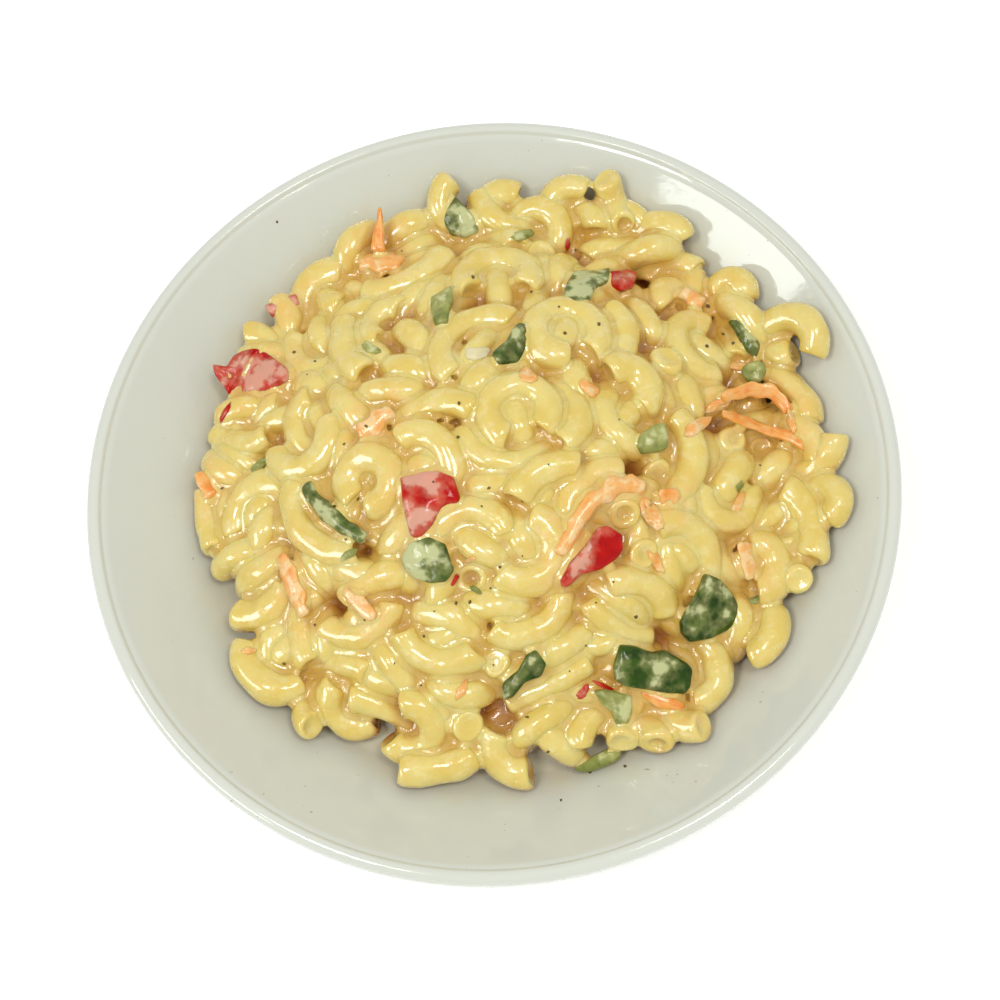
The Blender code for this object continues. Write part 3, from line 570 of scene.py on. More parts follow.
def cut_piece(outline, strip, folds, coats, coat, seed):
    """Rings of a cut piece, over its top from the middle to the rim and back underneath.

    With each point come how far inside the rim it is, how thick its coat is, and its side.
    """
    places, widths, thickness, roll = strip
    rim = smooth_outline(outline)
    middle = rim.mean(0)
    first, last = np.array(places[0][:2], dtype=float), np.array(places[-1][:2], dtype=float)
    lead = (last - first) / np.hypot(*(last - first))
    rings = []
    for share in CUT_RINGS:
        pixels = middle + (rim - middle) * share
        edge = np.min([from_line(pixels, rim[k - 1], rim[k])[0] for k in range(len(rim))], axis=0)
        edge = edge / PIXELS_A_MM * MM
        _, along = from_line(pixels, first, last)
        across = ((pixels - first) @ np.array([lead[1], -lead[0]])) / PIXELS_A_MM * MM
        known = np.linspace(0, 1, len(places))
        height = np.interp(along, known, [place[2] for place in places]) * MM
        height = height + sin(radians(roll)) * across
        for start, end, lift in folds:
            away, _ = from_line(pixels, start, end)
            height = height + lift * MM * np.exp(-(away / PIXELS_A_MM / FOLD_WIDTH) ** 2)
        point = np.array([spot(u, v, h) for (u, v), h in zip(pixels, height)])
        normal = heap_slope(point[:, 0], point[:, 1])
        bumps = np.array([sum(wobble(place, size, seed) * height for size, height in SKIN_BUMPS)
                          for place in point]) * MM
        drawn = np.clip(edge / min(CUT_ROUNDING, thickness * MM / 2), 0, 1)
        half = thickness * MM / 2 * np.sqrt(1 - (1 - drawn) ** 2) + 0.02 * MM
        bow = -PEPPER_CAMBER * (1 - np.clip(edge / BOW_REACH, 0, 1)) ** 2
        cover = np.full(len(pixels), float(coat))
        for u, v, size, strength in coats:
            away = (pixels[:, 0] - u) ** 2 + (pixels[:, 1] - v) ** 2
            cover += strength * np.exp(-away / size ** 2)
        rings.append((point, normal, bumps + bow, half, np.clip(edge / RIM_WIDTH, 0, 1), cover))
    rows = [(ring, 1.0) for ring in rings] + [(ring, -1.0) for ring in reversed(rings[:-1])]
    points = [point + (shift + side * half)[:, None] * normal
              for (point, normal, shift, half, _, _), side in rows]
    layers = {"inside": np.concatenate([ring[4] for ring, _ in rows]),
              "coat": np.concatenate([ring[5] for ring, _ in rows])}
    return np.array(points), layers, np.repeat([side for _, side in rows], len(rim))


# Green pepper: diced pieces of the wall, dark waxy skin on one side and pale wet flesh on the
# other and along the cuts. Some lie bare, others show through a coat of dressing.
GREEN_PEPPERS = {       # middle line (pixel, mm over the dome), widths, thickness in mm, roll
    "green_back_tip": ([(454, 196, 2.5), (466, 232, 0)], (2.2, 8, 7.6), 2.4, 10),
    "green_by_ring": ([(566, 292, 0), (602, 275, 0)], (7, 8, 5), 2.2, -15),
    "green_folded": ([(449, 287, 0.5), (438, 322, 0)], (3, 5.8, 4), 2.2, 25),
    "green_under_ring": ([(496, 359, -0.5), (528, 328, -0.5)], (5.2, 7, 5), 2.2, 20),
    "green_twisted": ([(732, 318, 0.5), (746, 334, 1), (758, 353, 0)], (3.4, 5, 3), 2.0, -20),
    "green_small_right": ([(744, 370, 0.5), (765, 371, 0.5)], (4, 5.4, 4.4), 2.0, 0),
    "green_pale_right": ([(641, 436, 0), (667, 445, 0)], (6.2, 7.6, 5), 2.4, 15),
    "green_long_left": ([(304, 486, 0), (320, 514, 1), (364, 540, 0)], (3.4, 5.6, 3), 2.0, 20),
    "green_coated": ([(404, 554, -0.5), (450, 571, -1)], (8, 11.6, 7), 2.4, 0),
    "green_dark_right": ([(688, 636, 0), (722, 584, 0)], (9, 12.6, 9), 3.0, 10),
    "green_dark_front": ([(617, 664, 1), (690, 678, 1)], (10.6, 10.4, 9), 3.0, -10),
    "green_dark_middle": ([(504, 696, -0.5), (540, 659, 0)], (3.4, 5, 6.4), 2.4, 10),
    "green_pale_front": ([(599, 697, 0), (628, 712, 0)], (4.4, 7, 7.6), 2.4, 10),
    "green_on_dish": ([(576, 769, -6.4), (621, 751, -6.4)], (2, 4, 3), 2.0, 0),
}
GREEN_CUTS = {          # outline, coat, folds (from, to, lift in mm), patches of coat (pixel,
                        # size in pixels, how much thicker or thinner)
    "green_back_tip": (
        [(455, 195), (463, 204), (474, 216), (479, 229), (464, 235), (449, 231), (441, 218)],
        0.62, [], []),
    "green_by_ring": (
        [(573, 272), (585, 269), (600, 269), (611, 266), (609, 280), (596, 286), (591, 298),
        (576, 302), (564, 298), (565, 285)], 0.62, [((572, 286), (606, 272), 0.5)],
        [(580, 284, 8, 0.2)]),
    "green_folded": (
        [(430, 295), (437, 293), (452, 285), (453, 297), (449, 307), (447, 321), (434, 324),
        (430, 311)], 0.5, [((437, 296), (447, 305), 0.9)], []),
    "green_under_ring": (
        [(519, 322), (530, 325), (531, 342), (518, 362), (498, 365), (491, 352), (506, 340),
        (512, 329)], 0.42, [((498, 358), (522, 332), 0.8)], [(514, 332, 9, 0.35)]),
    "green_twisted": (
        [(728, 320), (741, 317), (755, 331), (761, 344), (757, 357), (748, 351), (741, 340),
        (735, 330)], 0.58, [((737, 322), (757, 350), 0.8)], []),
    "green_small_right": (
        [(743, 365), (755, 360), (765, 362), (767, 371), (762, 381), (750, 382), (743, 374)], 0.5,
        [], []),
    "green_pale_right": (
        [(639, 437), (643, 431), (655, 424), (665, 422), (668, 432), (669, 447), (660, 452),
        (643, 453), (637, 445)], 0.46, [((656, 424), (658, 450), -0.5)], [(664, 436, 7, 0.3)]),
    "green_coated": (
        [(401, 556), (409, 542), (428, 536), (445, 544), (454, 570), (446, 582), (430, 584),
        (414, 579), (403, 568)], 0.56, [], [(408, 550, 14, 0.5)]),
    "green_dark_right": (
        [(681, 622), (685, 613), (697, 595), (702, 583), (706, 573), (721, 579), (733, 594),
        (740, 609), (741, 620), (728, 631), (711, 639), (690, 643), (682, 634)], 0.4, [],
        [(690, 612, 12, 0.25), (714, 586, 10, 0.2)]),
    "green_dark_front": (
        [(614, 667), (620, 645), (635, 646), (654, 653), (666, 650), (688, 663), (693, 670),
        (691, 687), (685, 694), (668, 694), (647, 690), (625, 687), (615, 680)], 0.37,
        [((640, 650), (690, 668), 0.5)], [(660, 664, 10, 0.35), (634, 668, 10, -0.15),
        (684, 676, 8, -0.2)]),
    "green_dark_middle": (
        [(518, 671), (526, 655), (536, 650), (547, 664), (542, 677), (525, 683), (513, 698),
        (502, 701), (502, 684), (511, 676)], 0.38, [], [(506, 692, 10, 0.35),
        (540, 672, 8, 0.2)]),
    "green_pale_front": (
        [(594, 691), (607, 690), (632, 696), (633, 711), (629, 725), (616, 726), (612, 713),
        (601, 704)], 0.58, [((602, 692), (618, 712), 0.5)], []),
    "green_on_dish": (
        [(573, 769), (583, 761), (595, 754), (610, 747), (622, 746), (620, 756), (610, 763),
        (595, 768), (583, 771)], 0.42, [((578, 767), (616, 750), 0.5)], [(600, 754, 8, 0.2)]),
}
PALE_GREEN = ("green_pale_right", "green_small_right", "green_folded", "green_pale_front",
              "green_on_dish")
LONG_GREEN_COAT = 0.55
GREEN_CREAM = (0.74, 0.76, 0.40, 1)


def dressed_skin(name, deep, fresh, film, cream, film_share, cream_share):
    """Pepper skin under a film of dressing, with thicker smears of it; coat says how much."""
    surface, shader, place = start_material(name, {
        "IOR": 1.2, "Coat Roughness": 0.05, "Coat Weight": 0.3, "Subsurface Weight": 0.10,
        "Subsurface Radius": (0.6, 0.5, 0.3), "Subsurface Scale": 1.0 * MM})
    colour = place.noise(4 * MM).between(0.3, 0.7).blend(deep, fresh)
    cover = (0.5 + (place.layer("coat") - 0.5) * 0.85
             + (place.noise(4.5 * MM, 2.5) - 0.5) * 1.2
             + (place.noise(1.4 * MM) - 0.5) * 0.25
             + (place.layer("inside") - 0.5) * 0.10)
    thin = cover.between(0.25, 0.60)
    thick = cover.between(0.53, 0.72)
    colour = (thin * film_share).blend(colour, film)
    (thick * cream_share).blend(colour, cream).feed(shader, "Base Color")
    (0.16 + thick * 0.10).feed(shader, "Roughness")
    bump_from(shader, thick + 0.3 * thin + 0.35 * place.noise(1.1 * MM), 0.16 * MM)
    return surface


GREEN_FILM = (0.66, 0.63, 0.24, 1)
dark_skin = dressed_skin("green_pepper_skin", (0.016, 0.045, 0.003, 1), (0.042, 0.098, 0.007, 1),
                         GREEN_FILM, GREEN_CREAM, 0.22, 0.66)
pale_skin = dressed_skin("green_pepper_pale_skin", (0.150, 0.185, 0.035, 1),
                         (0.290, 0.315, 0.080, 1), GREEN_FILM, GREEN_CREAM, 0.34, 0.62)
green_flesh = dressed_skin("green_pepper_flesh", (0.22, 0.27, 0.07, 1), (0.36, 0.40, 0.14, 1),
                           GREEN_FILM, GREEN_CREAM, 0.36, 0.50)
for number, (name, (outline, coat, folds, coats)) in enumerate(GREEN_CUTS.items()):
    skin = pale_skin if name in PALE_GREEN else dark_skin
    rings, layers, under = cut_piece(outline, GREEN_PEPPERS[name], folds, coats, coat, number + 1)
    lay_piece(name, rings, layers, [skin, green_flesh], under)
rings, grain, inside = cut_strip(*GREEN_PEPPERS["green_long_left"], 15, 0.35, 0.6)
coat = LONG_GREEN_COAT + 10 * (grain[:, 1] + 0.5 * MM)
lay_piece("green_long_left", rings, {"inside": inside, "coat": coat}, [dark_skin])


# Red pepper: the same cut, bright red where it is bare and pink under its dressing.
RED_PEPPERS = {
    "red_folded_left": ([(220, 384, 1), (283, 368, 1)], (9, 11.6, 7.4), 2.4, 20),
    "red_back_left": ([(267, 311, 0), (297, 299, 0)], (3.8, 4.2, 3.6), 2.2, 0),
    "red_coated": ([(430, 473, 0), (417, 535, 0)], (14, 11.6, 5), 2.6, 0),
    "red_bright": ([(563, 584, 0.5), (617, 534, 1)], (4, 7.8, 9), 2.8, 10),
    "red_back": ([(615, 277, 0), (638, 281, 0)], (3.4, 5.2, 4.4), 2.0, 0),
}
RED_CUTS = {
    "red_folded_left": (
        [(213, 363), (226, 367), (233, 355), (243, 350), (255, 348), (265, 351), (285, 366),
        (286, 377), (269, 389), (250, 393), (231, 398), (223, 386), (215, 374)], 0.62,
        [((254, 350), (227, 394), 1.5), ((216, 366), (236, 380), -0.8)], [(262, 370, 16, 0.12),
        (254, 352, 6, -0.5), (240, 372, 5, -0.5), (229, 392, 6, -0.5), (268, 354, 6, -0.4)]),
    "red_back_left": (
        [(264, 305), (277, 300), (296, 293), (299, 303), (290, 310), (284, 312), (271, 316)],
        0.62, [], []),
    "red_coated": (
        [(400, 477), (410, 475), (424, 471), (437, 470), (453, 476), (460, 497), (458, 503),
        (448, 504), (441, 508), (434, 522), (422, 537), (415, 539), (410, 536), (404, 512),
        (401, 495)], 0.58, [((404, 500), (446, 500), 0.4)], [(405, 496, 7, -0.5),
        (454, 494, 7, -0.45), (426, 474, 13, 0.45), (416, 522, 10, 0.2), (424, 498, 11, -0.25)]),
    "red_bright": (
        [(560, 581), (562, 588), (569, 587), (581, 575), (601, 570), (616, 560), (624, 550),
        (623, 535), (608, 525), (598, 527), (586, 545), (571, 561)], 0.36,
        [((566, 576), (602, 530), 0.6)], [(588, 543, 13, 0.55), (573, 568, 13, 0.4),
        (607, 552, 15, -0.55), (611, 531, 7, 0.4)]),
    "red_back": (
        [(609, 271), (626, 268), (638, 272), (634, 286), (621, 288), (610, 281)], 0.34,
        [((618, 272), (624, 286), 0.9)], [(630, 277, 6, 0.3)]),
}
RED_FILM = (0.86, 0.50, 0.30, 1)
RED_CREAM = (0.86, 0.62, 0.46, 1)
red_skin = dressed_skin("red_pepper_skin", (0.42, 0.001, 0.001, 1), (0.58, 0.004, 0.002, 1),
                        RED_FILM, RED_CREAM, 0.22, 0.46)
red_flesh = dressed_skin("red_pepper_flesh", (0.44, 0.035, 0.02, 1), (0.60, 0.12, 0.07, 1),
                         RED_FILM, RED_CREAM, 0.30, 0.50)
for number, (name, (outline, coat, folds, coats)) in enumerate(RED_CUTS.items()):
    rings, layers, under = cut_piece(outline, RED_PEPPERS[name], folds, coats, coat, number + 31)
    lay_piece(name, rings, layers, [red_skin, red_flesh], under)


# Carrot: coarse gratings, some curled into loops and one that stands up as a spike, with the
# grain of the root along them and a thin coat of dressing.
CARROTS = {
    "carrot_spike": ([(379, 252, 3.3), (380, 207, 6.5)], (4.4, 1.2), 2.2, 0),
    "carrot_base": ([(360, 264, 0), (382, 256, 0.5), (402, 262, 0)], (5, 7, 5.4), 3.2, 0),
    "carrot_loop_far": ([(722, 398, 0), (744, 387, 1.5), (768, 384, 2), (786, 393, 1.5),
                         (789, 412, 0.5)], (3.4, 4, 3.8, 3.8, 3.4), 1.4, 30),
    "carrot_loop_near": ([(722, 414, 0.5), (742, 420, 0.5), (766, 428, 0.5), (808, 445, 0)],
                         (3.2, 3.4, 3.4, 3.4), 1.4, -10),
    "carrot_band": ([(561, 556, 0), (584, 512, 0.5), (610, 481, 1), (646, 486, 0.5)],
                    (4.4, 5.2, 5, 4.4), 1.5, 10),
    "carrot_curl": ([(660, 498, 0), (674, 484, 0.5), (678, 500, 0)], (3.6, 4, 3.4), 1.5, 20),
    "carrot_left_strip": ([(281, 554, 0), (292, 582, 0), (305, 616, 0)], (2.6, 5, 5, 3.4), 1.8, 0),
    "carrot_left_short": ([(344, 590, 0), (376, 618, 0)], (2.6, 4.2, 2.6), 1.6, 0),
    "carrot_coated": ([(358, 434, -1), (392, 410, -1)], (6, 6, 4.5), 2.6, 15),
    "carrot_left_edge": ([(198, 472, 0), (213, 496, 0)], (3, 4.4, 3.4), 1.6, 0),
    "carrot_front_strip": ([(641, 692, -1), (684, 709, 0)], (1.6, 3.6, 3), 1.6, 0),
    "carrot_right_strip": ([(743, 542, 0), (750, 580, 0)], (4, 4, 2.8), 1.6, 0),
    "carrot_back_right": ([(682, 290, 0), (704, 303, 0)], (4.6, 5.4, 4.4), 2.0, 0),
}
CARROT_COAT = {"carrot_spike": 0.25, "carrot_base": 0.60, "carrot_loop_far": 0.30,
               "carrot_loop_near": 0.34, "carrot_band": 0.62, "carrot_coated": 0.75,
               "carrot_left_strip": 0.62, "carrot_back_right": 0.80, "carrot_left_short": 0.80,
               "carrot_right_strip": 0.75, "carrot_curl": 0.42, "carrot_front_strip": 0.35,
               "carrot_left_edge": 0.45}


def grated_carrot():
    """Orange root with its fibres along the strip, under a film of dressing."""
    surface, shader, place = start_material("carrot_flesh", {
        "IOR": 1.42, "Coat Roughness": 0.08, "Coat Weight": 0.5, "Subsurface Weight": 0.30,
        "Subsurface Radius": (1.0, 0.45, 0.15), "Subsurface Scale": 1.4 * MM})
    fibres = place.node("ShaderNodeMapping", {}, {
        "Vector": place.layer("grain", 1), "Scale": (0.14, 1.0, 1.0)})
    lines = fibres.noise(0.6 * MM)
    colour = lines.between(0.3, 0.7).blend((0.82, 0.25, 0.028, 1), (0.90, 0.38, 0.055, 1))
    cover = (place.noise(3.4 * MM, 2.5, 0.55) + (place.layer("coat") - 0.5) * 0.45
             + 0.08 * lines)
    thin = cover.between(0.30, 0.58)
    thick = cover.between(0.58, 0.72)
    colour = (thin * 0.50).blend(colour, (0.93, 0.62, 0.24, 1))
    (thick * 0.65).blend(colour, (0.93, 0.72, 0.38, 1)).feed(shader, "Base Color")
    (0.30 - thick * 0.10).feed(shader, "Roughness")
    bump_from(shader, lines * 0.7 + 0.8 * thick, 0.13 * MM)
    return surface


carrot_flesh = grated_carrot()
for number, (name, strip) in enumerate(CARROTS.items()):
    rings, grain, inside = cut_strip(*strip, number + 50, 0.55, 0.75)
    lay_piece(name, rings, {"grain": grain, "coat": np.full(len(grain), CARROT_COAT[name])},
              [carrot_flesh])


# Elbow macaroni: short bent tubes of cooked pasta, soft and wet, with most of their ends closed
# by dressing. They are laid where the photograph shows them and settle until they only touch.
CHAIN = 7
SHORTEST_PIECE = 15 * MM
END_REACH = 2.4 * MM
LARGEST_SWEEP = radians(320)
END_ON_SINK = 0.4 * TUBE_RADIUS
END_ON_SWEEP = radians(110)
END_ON_BEND = 9 * MM
PIECE_LENGTH = (20 * MM, 28 * MM)
PIECE_BEND = (6.8 * MM, 10.5 * MM)
PIECE_TILTS = (8, 20, 35, 60, 85)
TOUCH_RADIUS = 3.85 * MM
TOPPING_ROOM = 0.6 * MM
SETTLE_STEPS = 90
SINK_RATE = 0.5
RISE_RATE = 0.3
RISE_DEPTH = 1 * MM
LIFT_OFF_STEPS = 8
LIFT_SPREAD = 1.5 * MM
END_ON_LIFT = 2 * MM
PLACED_HOLD = 0.25
FILLER_HOLD = 0.02
FILL_TRIES = 24
FILL_HOLE = 6.4 * MM
FILL_REACH = 0.92
FILL_STEP = 3 * MM
MOST_FILLERS = 40
SEED = 11
LOWER_LAYERS = [        # depth, smallest hole to fill, share of the heap's radius, most pieces
    (6.8 * MM, 5.2 * MM, 0.93, 110), (12 * MM, 6.2 * MM, 0.87, 60),
]
LOWER_STEPS = 24
CURVED_PIECES = {       # three pixels along the middle line of each piece
    "back left": [
        ((338, 273), (312, 286), (304, 313)), ((368, 284), (340, 288), (331, 312)),
        ((374, 286), (412, 282), (446, 268)), ((292, 350), (308, 366), (334, 354)),
        ((352, 328), (345, 350), (350, 378)), ((392, 306), (374, 318), (384, 338)),
    ],
    "back": [
        ((466, 288), (490, 262), (527, 286)), ((450, 256), (482, 240), (516, 248)),
        ((518, 224), (540, 212), (557, 240)), ((573, 230), (583, 213), (602, 222)),
        ((447, 374), (458, 328), (506, 320)), ((583, 359), (570, 313), (557, 359)),
        ((594, 250), (612, 246), (630, 251)), ((606, 318), (622, 330), (632, 350)),
    ],
    "back right": [
        ((648, 268), (668, 261), (690, 268)), ((720, 292), (730, 280), (744, 283)),
        ((772, 322), (803, 324), (810, 354)), ((692, 322), (679, 350), (714, 372)),
        ((708, 322), (728, 334), (742, 354)), ((612, 372), (636, 376), (648, 402)),
        ((664, 300), (676, 290), (690, 300)), ((785, 376), (800, 393), (805, 418)),
        ((764, 336), (774, 350), (786, 360)),
    ],
    "left": [
        ((280, 402), (262, 424), (288, 456)), ((313, 402), (297, 426), (304, 450)),
        ((280, 467), (318, 464), (330, 426)), ((226, 432), (243, 446), (264, 448)),
        ((238, 526), (254, 489), (288, 496)), ((297, 492), (308, 534), (350, 548)),
        ((356, 503), (368, 459), (380, 503)), ((198, 500), (208, 520), (220, 540)),
    ],
    "middle": [
        ((407, 404), (438, 398), (470, 410)), ((402, 456), (434, 441), (464, 474)),
        ((497, 434), (519, 388), (544, 428)), ((466, 434), (498, 460), (541, 450)),
        ((551, 386), (575, 410), (568, 444)), ((618, 384), (603, 415), (630, 444)),
        ((562, 456), (536, 478), (528, 500)), ((604, 462), (578, 484), (572, 512)),
        ((446, 558), (456, 514), (502, 520)), ((530, 516), (554, 552), (510, 582)),
    ],
    "right": [
        ((676, 426), (693, 458), (684, 500)), ((831, 440), (824, 466), (804, 484)),
        ((813, 494), (810, 528), (792, 552)), ((762, 548), (780, 570), (766, 592)),
        ((702, 484), (716, 514), (752, 500)), ((664, 516), (702, 546), (690, 594)),
        ((828, 486), (836, 500), (824, 518)), ((612, 590), (640, 584), (668, 598)),
    ],
    "front left": [
        ((316, 596), (303, 632), (308, 656)), ((300, 668), (332, 664), (364, 674)),
        ((332, 686), (340, 712), (366, 720)), ((318, 690), (308, 708), (304, 726)),
        ((360, 688), (384, 704), (402, 724)), ((252, 652), (262, 682), (296, 688)),
        ((336, 606), (352, 630), (392, 634)), ((352, 592), (376, 576), (404, 570)),
        ((246, 612), (268, 612), (286, 598)),
    ],
    "front": [
        ((412, 628), (446, 606), (484, 640)), ((404, 646), (436, 662), (472, 650)),
        ((502, 634), (536, 632), (558, 598)), ((582, 664), (548, 680), (514, 696)),
        ((412, 700), (434, 722), (396, 746)), ((484, 746), (500, 764), (526, 766)),
        ((408, 764), (440, 768), (470, 762)), ((602, 708), (588, 718), (580, 738)),
        ((586, 616), (614, 624), (646, 622)),
    ],
    "front right": [
        ((766, 600), (780, 624), (754, 652)), ((708, 646), (718, 672), (700, 700)),
        ((648, 714), (676, 722), (704, 716)), ((624, 742), (634, 728), (656, 734)),
    ],
}
END_ON_PIECES = [       # the end that shows, and a pixel that the piece bends away towards
    ((611, 196), (614, 222)), ((537, 248), (528, 268)), ((656, 462), (630, 476)),
    ((622, 500), (606, 512)), ((498, 665), (500, 640)), ((472, 577), (480, 600)),
    ((737, 443), (722, 460)), ((461, 728), (462, 750)), ((803, 573), (790, 560)),
    ((642, 550), (620, 556)), ((766, 450), (776, 480)), ((665, 368), (652, 350)),
]


def circle_through(first, middle, last):
    """Centre, two directions, radius and end angles of the arc through three points."""
    side_a = first - middle
    side_b = last - middle
    across = np.cross(side_a, side_b)
    area = across @ across
    offset = np.cross((side_a @ side_a) * side_b - (side_b @ side_b) * side_a, across) / (2 * area)
    centre = middle + offset
    axis_x = unit(middle - centre)
    axis_y = np.cross(across / np.sqrt(area), axis_x)
    start, end = [np.arctan2((tip - centre) @ axis_y, (tip - centre) @ axis_x)
                  for tip in (first, last)]
    return centre, axis_x, axis_y, np.linalg.norm(offset), start, end


def seen_piece(pixels):
    """Evenly spaced points on the arc through three pixels, a little longer at both ends."""
    points = [spot(u, v, -TUBE_RADIUS) for u, v in pixels]
    centre, axis_x, axis_y, bend, start, end = circle_through(*points)
    sweep = abs(end - start)
    longer = max(sweep + 2 * END_REACH / bend, SHORTEST_PIECE / bend)
    longer = min(longer, max(sweep, LARGEST_SWEEP))
    start, end = [tip + np.sign(tip) * (longer - sweep) / 2 for tip in (start, end)]
    angles = np.linspace(start, end, CHAIN)[:, None]
    return centre + bend * (np.cos(angles) * axis_x + np.sin(angles) * axis_y)


def end_on_piece(end, towards):
    """A piece with one end at the surface, which bends away below it."""
    top = spot(*end, -END_ON_SINK)
    lead = spot(*towards, -END_ON_SINK) - top
    normal = unit((heap_slope(top[0], top[1]) + VIEW_BACK) / 2)
    lead = unit(lead - (lead @ normal) * normal)
    angles = np.linspace(0, END_ON_SWEEP, CHAIN)[:, None]
    return top + END_ON_BEND * ((1 - np.cos(angles)) * lead - np.sin(angles) * normal)


def push_apart(points, owner, fixed_points, fixed_radius):
    """How far each chain point is pushed by points of other pieces and by the vegetables."""
    between = points[:, None, :] - points[None, :, :]
    distance = np.linalg.norm(between, axis=2) + 1e-9
    overlap = np.clip(2 * TOUCH_RADIUS - distance, 0, None)
    overlap[owner[:, None] == owner[None, :]] = 0
    push = ((overlap / distance)[:, :, None] * between).sum(1) * 0.5
    count = (overlap > 0).sum(1)
    between = points[:, None, :] - fixed_points[None, :, :]
    distance = np.linalg.norm(between, axis=2) + 1e-9
    overlap = np.clip(TOUCH_RADIUS + fixed_radius - distance, 0, None)
    push += ((overlap / distance)[:, :, None] * between).sum(1)
    count += (overlap > 0).sum(1)
    return push / np.maximum(count, 1)[:, None]


def off_the_dish(points):
    """The way each point has to go to leave a piece's radius and some room over the dish."""
    x, y, z = points.T
    normal = upward(dish_top, x, y)
    low = (z - dish_surface(np.hypot(x, y) + WALL_CLEARANCE)) * normal[:, 2] - TUBE_RADIUS - GAP
    return -np.clip(low, None, 0)[:, None] * normal


def settle(chains, lifts, homes, holds, fixed_points, fixed_radius, steps):
    """Moves the pieces as rigid bodies until they touch without crossing, under the dome."""
    count, links = chains.shape[:2]
    owner = np.repeat(np.arange(count), links)
    for _ in range(steps):
        points = chains.reshape(-1, 3)
        move = push_apart(points, owner, fixed_points, fixed_radius)
        x, y, z = points.T
        room = (heap_top(x, y) + np.repeat(lifts, links) - z) * heap_slope(x, y)[:, 2]
        above = np.clip(TUBE_RADIUS - room, 0, None)
        move -= SINK_RATE * above[:, None] * heap_slope(x, y)
        middle = chains.mean(1)
        depth = room.reshape(count, links).min(1) - TUBE_RADIUS
        move[:, 2] += np.repeat(RISE_RATE * np.clip(depth, 0, RISE_DEPTH), links)
        move += off_the_dish(points)
        move = move.reshape(count, links, 3)
        shift = move.mean(1) + holds[:, None] * (homes - middle) * np.array([1, 1, 0])
        arms = chains - middle[:, None, :]
        twist = np.cross(arms, move).sum(1) / (arms ** 2).sum((1, 2))[:, None]
        twist *= (1 - 2 * holds)[:, None]
        turned = arms + np.cross(twist[:, None, :], arms)
        turned *= (np.linalg.norm(arms, axis=2, keepdims=True)
                   / np.linalg.norm(turned, axis=2, keepdims=True))
        chains = np.round(middle[:, None, :] + shift[:, None, :] + turned, 7)
    for _ in range(LIFT_OFF_STEPS):
        move = off_the_dish(chains.reshape(-1, 3)).reshape(chains.shape)
        worst = np.argmax(np.linalg.norm(move, axis=2), axis=1)
        chains = chains + move[np.arange(count), worst][:, None, :]
    return chains


def bare_spots(sink, share):
    """Points at a depth under the dome, where pieces may be missing."""
    side = np.arange(-HEAP_RADIUS, HEAP_RADIUS, FILL_STEP)
    x, y = [values.ravel() for values in np.meshgrid(side, side)]
    inside = np.hypot(x, y) < share * HEAP_RADIUS
    x = x[inside] + HEAP_MIDDLE[0]
    y = y[inside] + HEAP_MIDDLE[1]
    return np.stack([x, y, heap_top(x, y)], 1) - sink * heap_slope(x, y)


def nearest(places, taken):
    """How far each place is from the nearest of the points taken."""
    return np.linalg.norm(places[:, None, :] - taken[None, :, :], axis=2).min(1)


def random_piece(place, draw):
    """A piece at a place, lying flat, tilted or on edge."""
    bend = draw.uniform(*PIECE_BEND)
    sweep = draw.uniform(*PIECE_LENGTH) / bend
    angles = np.linspace(-sweep / 2, sweep / 2, CHAIN)
    flat = np.stack([bend * np.sin(angles), bend * (np.cos(angles) - 0.6), 0 * angles], 1)
    tilt = radians(draw.choice(PIECE_TILTS))
    lean = np.array([[1, 0, 0], [0, cos(tilt), -sin(tilt)], [0, sin(tilt), cos(tilt)]])
    spin = draw.uniform(0, 2 * pi)
    turn = np.array([[cos(spin), -sin(spin), 0], [sin(spin), cos(spin), 0], [0, 0, 1]])
    normal = heap_slope(place[0], place[1])
    east = unit(np.cross([0.0, 1.0, 0.0], normal))
    upright = np.stack([east, np.cross(normal, east), normal], 1)
    chain = (upright @ turn @ lean @ flat.T).T
    chain -= chain[np.argmax(chain @ normal)] @ normal * normal
    return place + chain


def fill_bare_spots(chains, fixed_points, draw, most, hole=FILL_HOLE, sink=TUBE_RADIUS,
                    share=FILL_REACH):
    """Adds pieces one at a time at the barest spot, in the pose that crosses others least."""
    places = bare_spots(sink, share)
    away = nearest(places, np.concatenate([chains.reshape(-1, 3), fixed_points]))
    for _ in range(most):
        barest = np.argmax(np.round(away, 6))
        if away[barest] < hole:
            break
        taken = np.concatenate([chains.reshape(-1, 3), fixed_points])
        best = None
        for _ in range(FILL_TRIES):
            chain = random_piece(places[barest], draw)
            distance = np.linalg.norm(chain[:, None, :] - taken[None, :, :], axis=2)
            crossing = round(float(np.clip(2 * TOUCH_RADIUS - distance, 0, None).sum()), 6)
            if best is None or crossing < best[0]:
                best = (crossing, chain)
        chains = np.concatenate([chains, best[1][None]])
        away = np.minimum(away, nearest(places, best[1]))
    return chains


def lay_pieces(fixed_points, fixed_radius):
    """Every piece of macaroni on the heap's surface, settled."""
    draw = np.random.default_rng(SEED)
    seen = [seen_piece(pixels) for area in CURVED_PIECES.values() for pixels in area]
    ends = [end_on_piece(*pixels) for pixels in END_ON_PIECES]
    chains = np.array(seen + ends)
    placed = len(chains)
    chains = fill_bare_spots(chains, fixed_points, draw, MOST_FILLERS)
    lifts = draw.uniform(-LIFT_SPREAD, LIFT_SPREAD, len(chains))
    lifts[len(seen):placed] += END_ON_LIFT
    holds = np.where(np.arange(len(chains)) < placed, PLACED_HOLD, FILLER_HOLD)
    return settle(chains, lifts, chains.mean(1), holds, fixed_points, fixed_radius, SETTLE_STEPS)


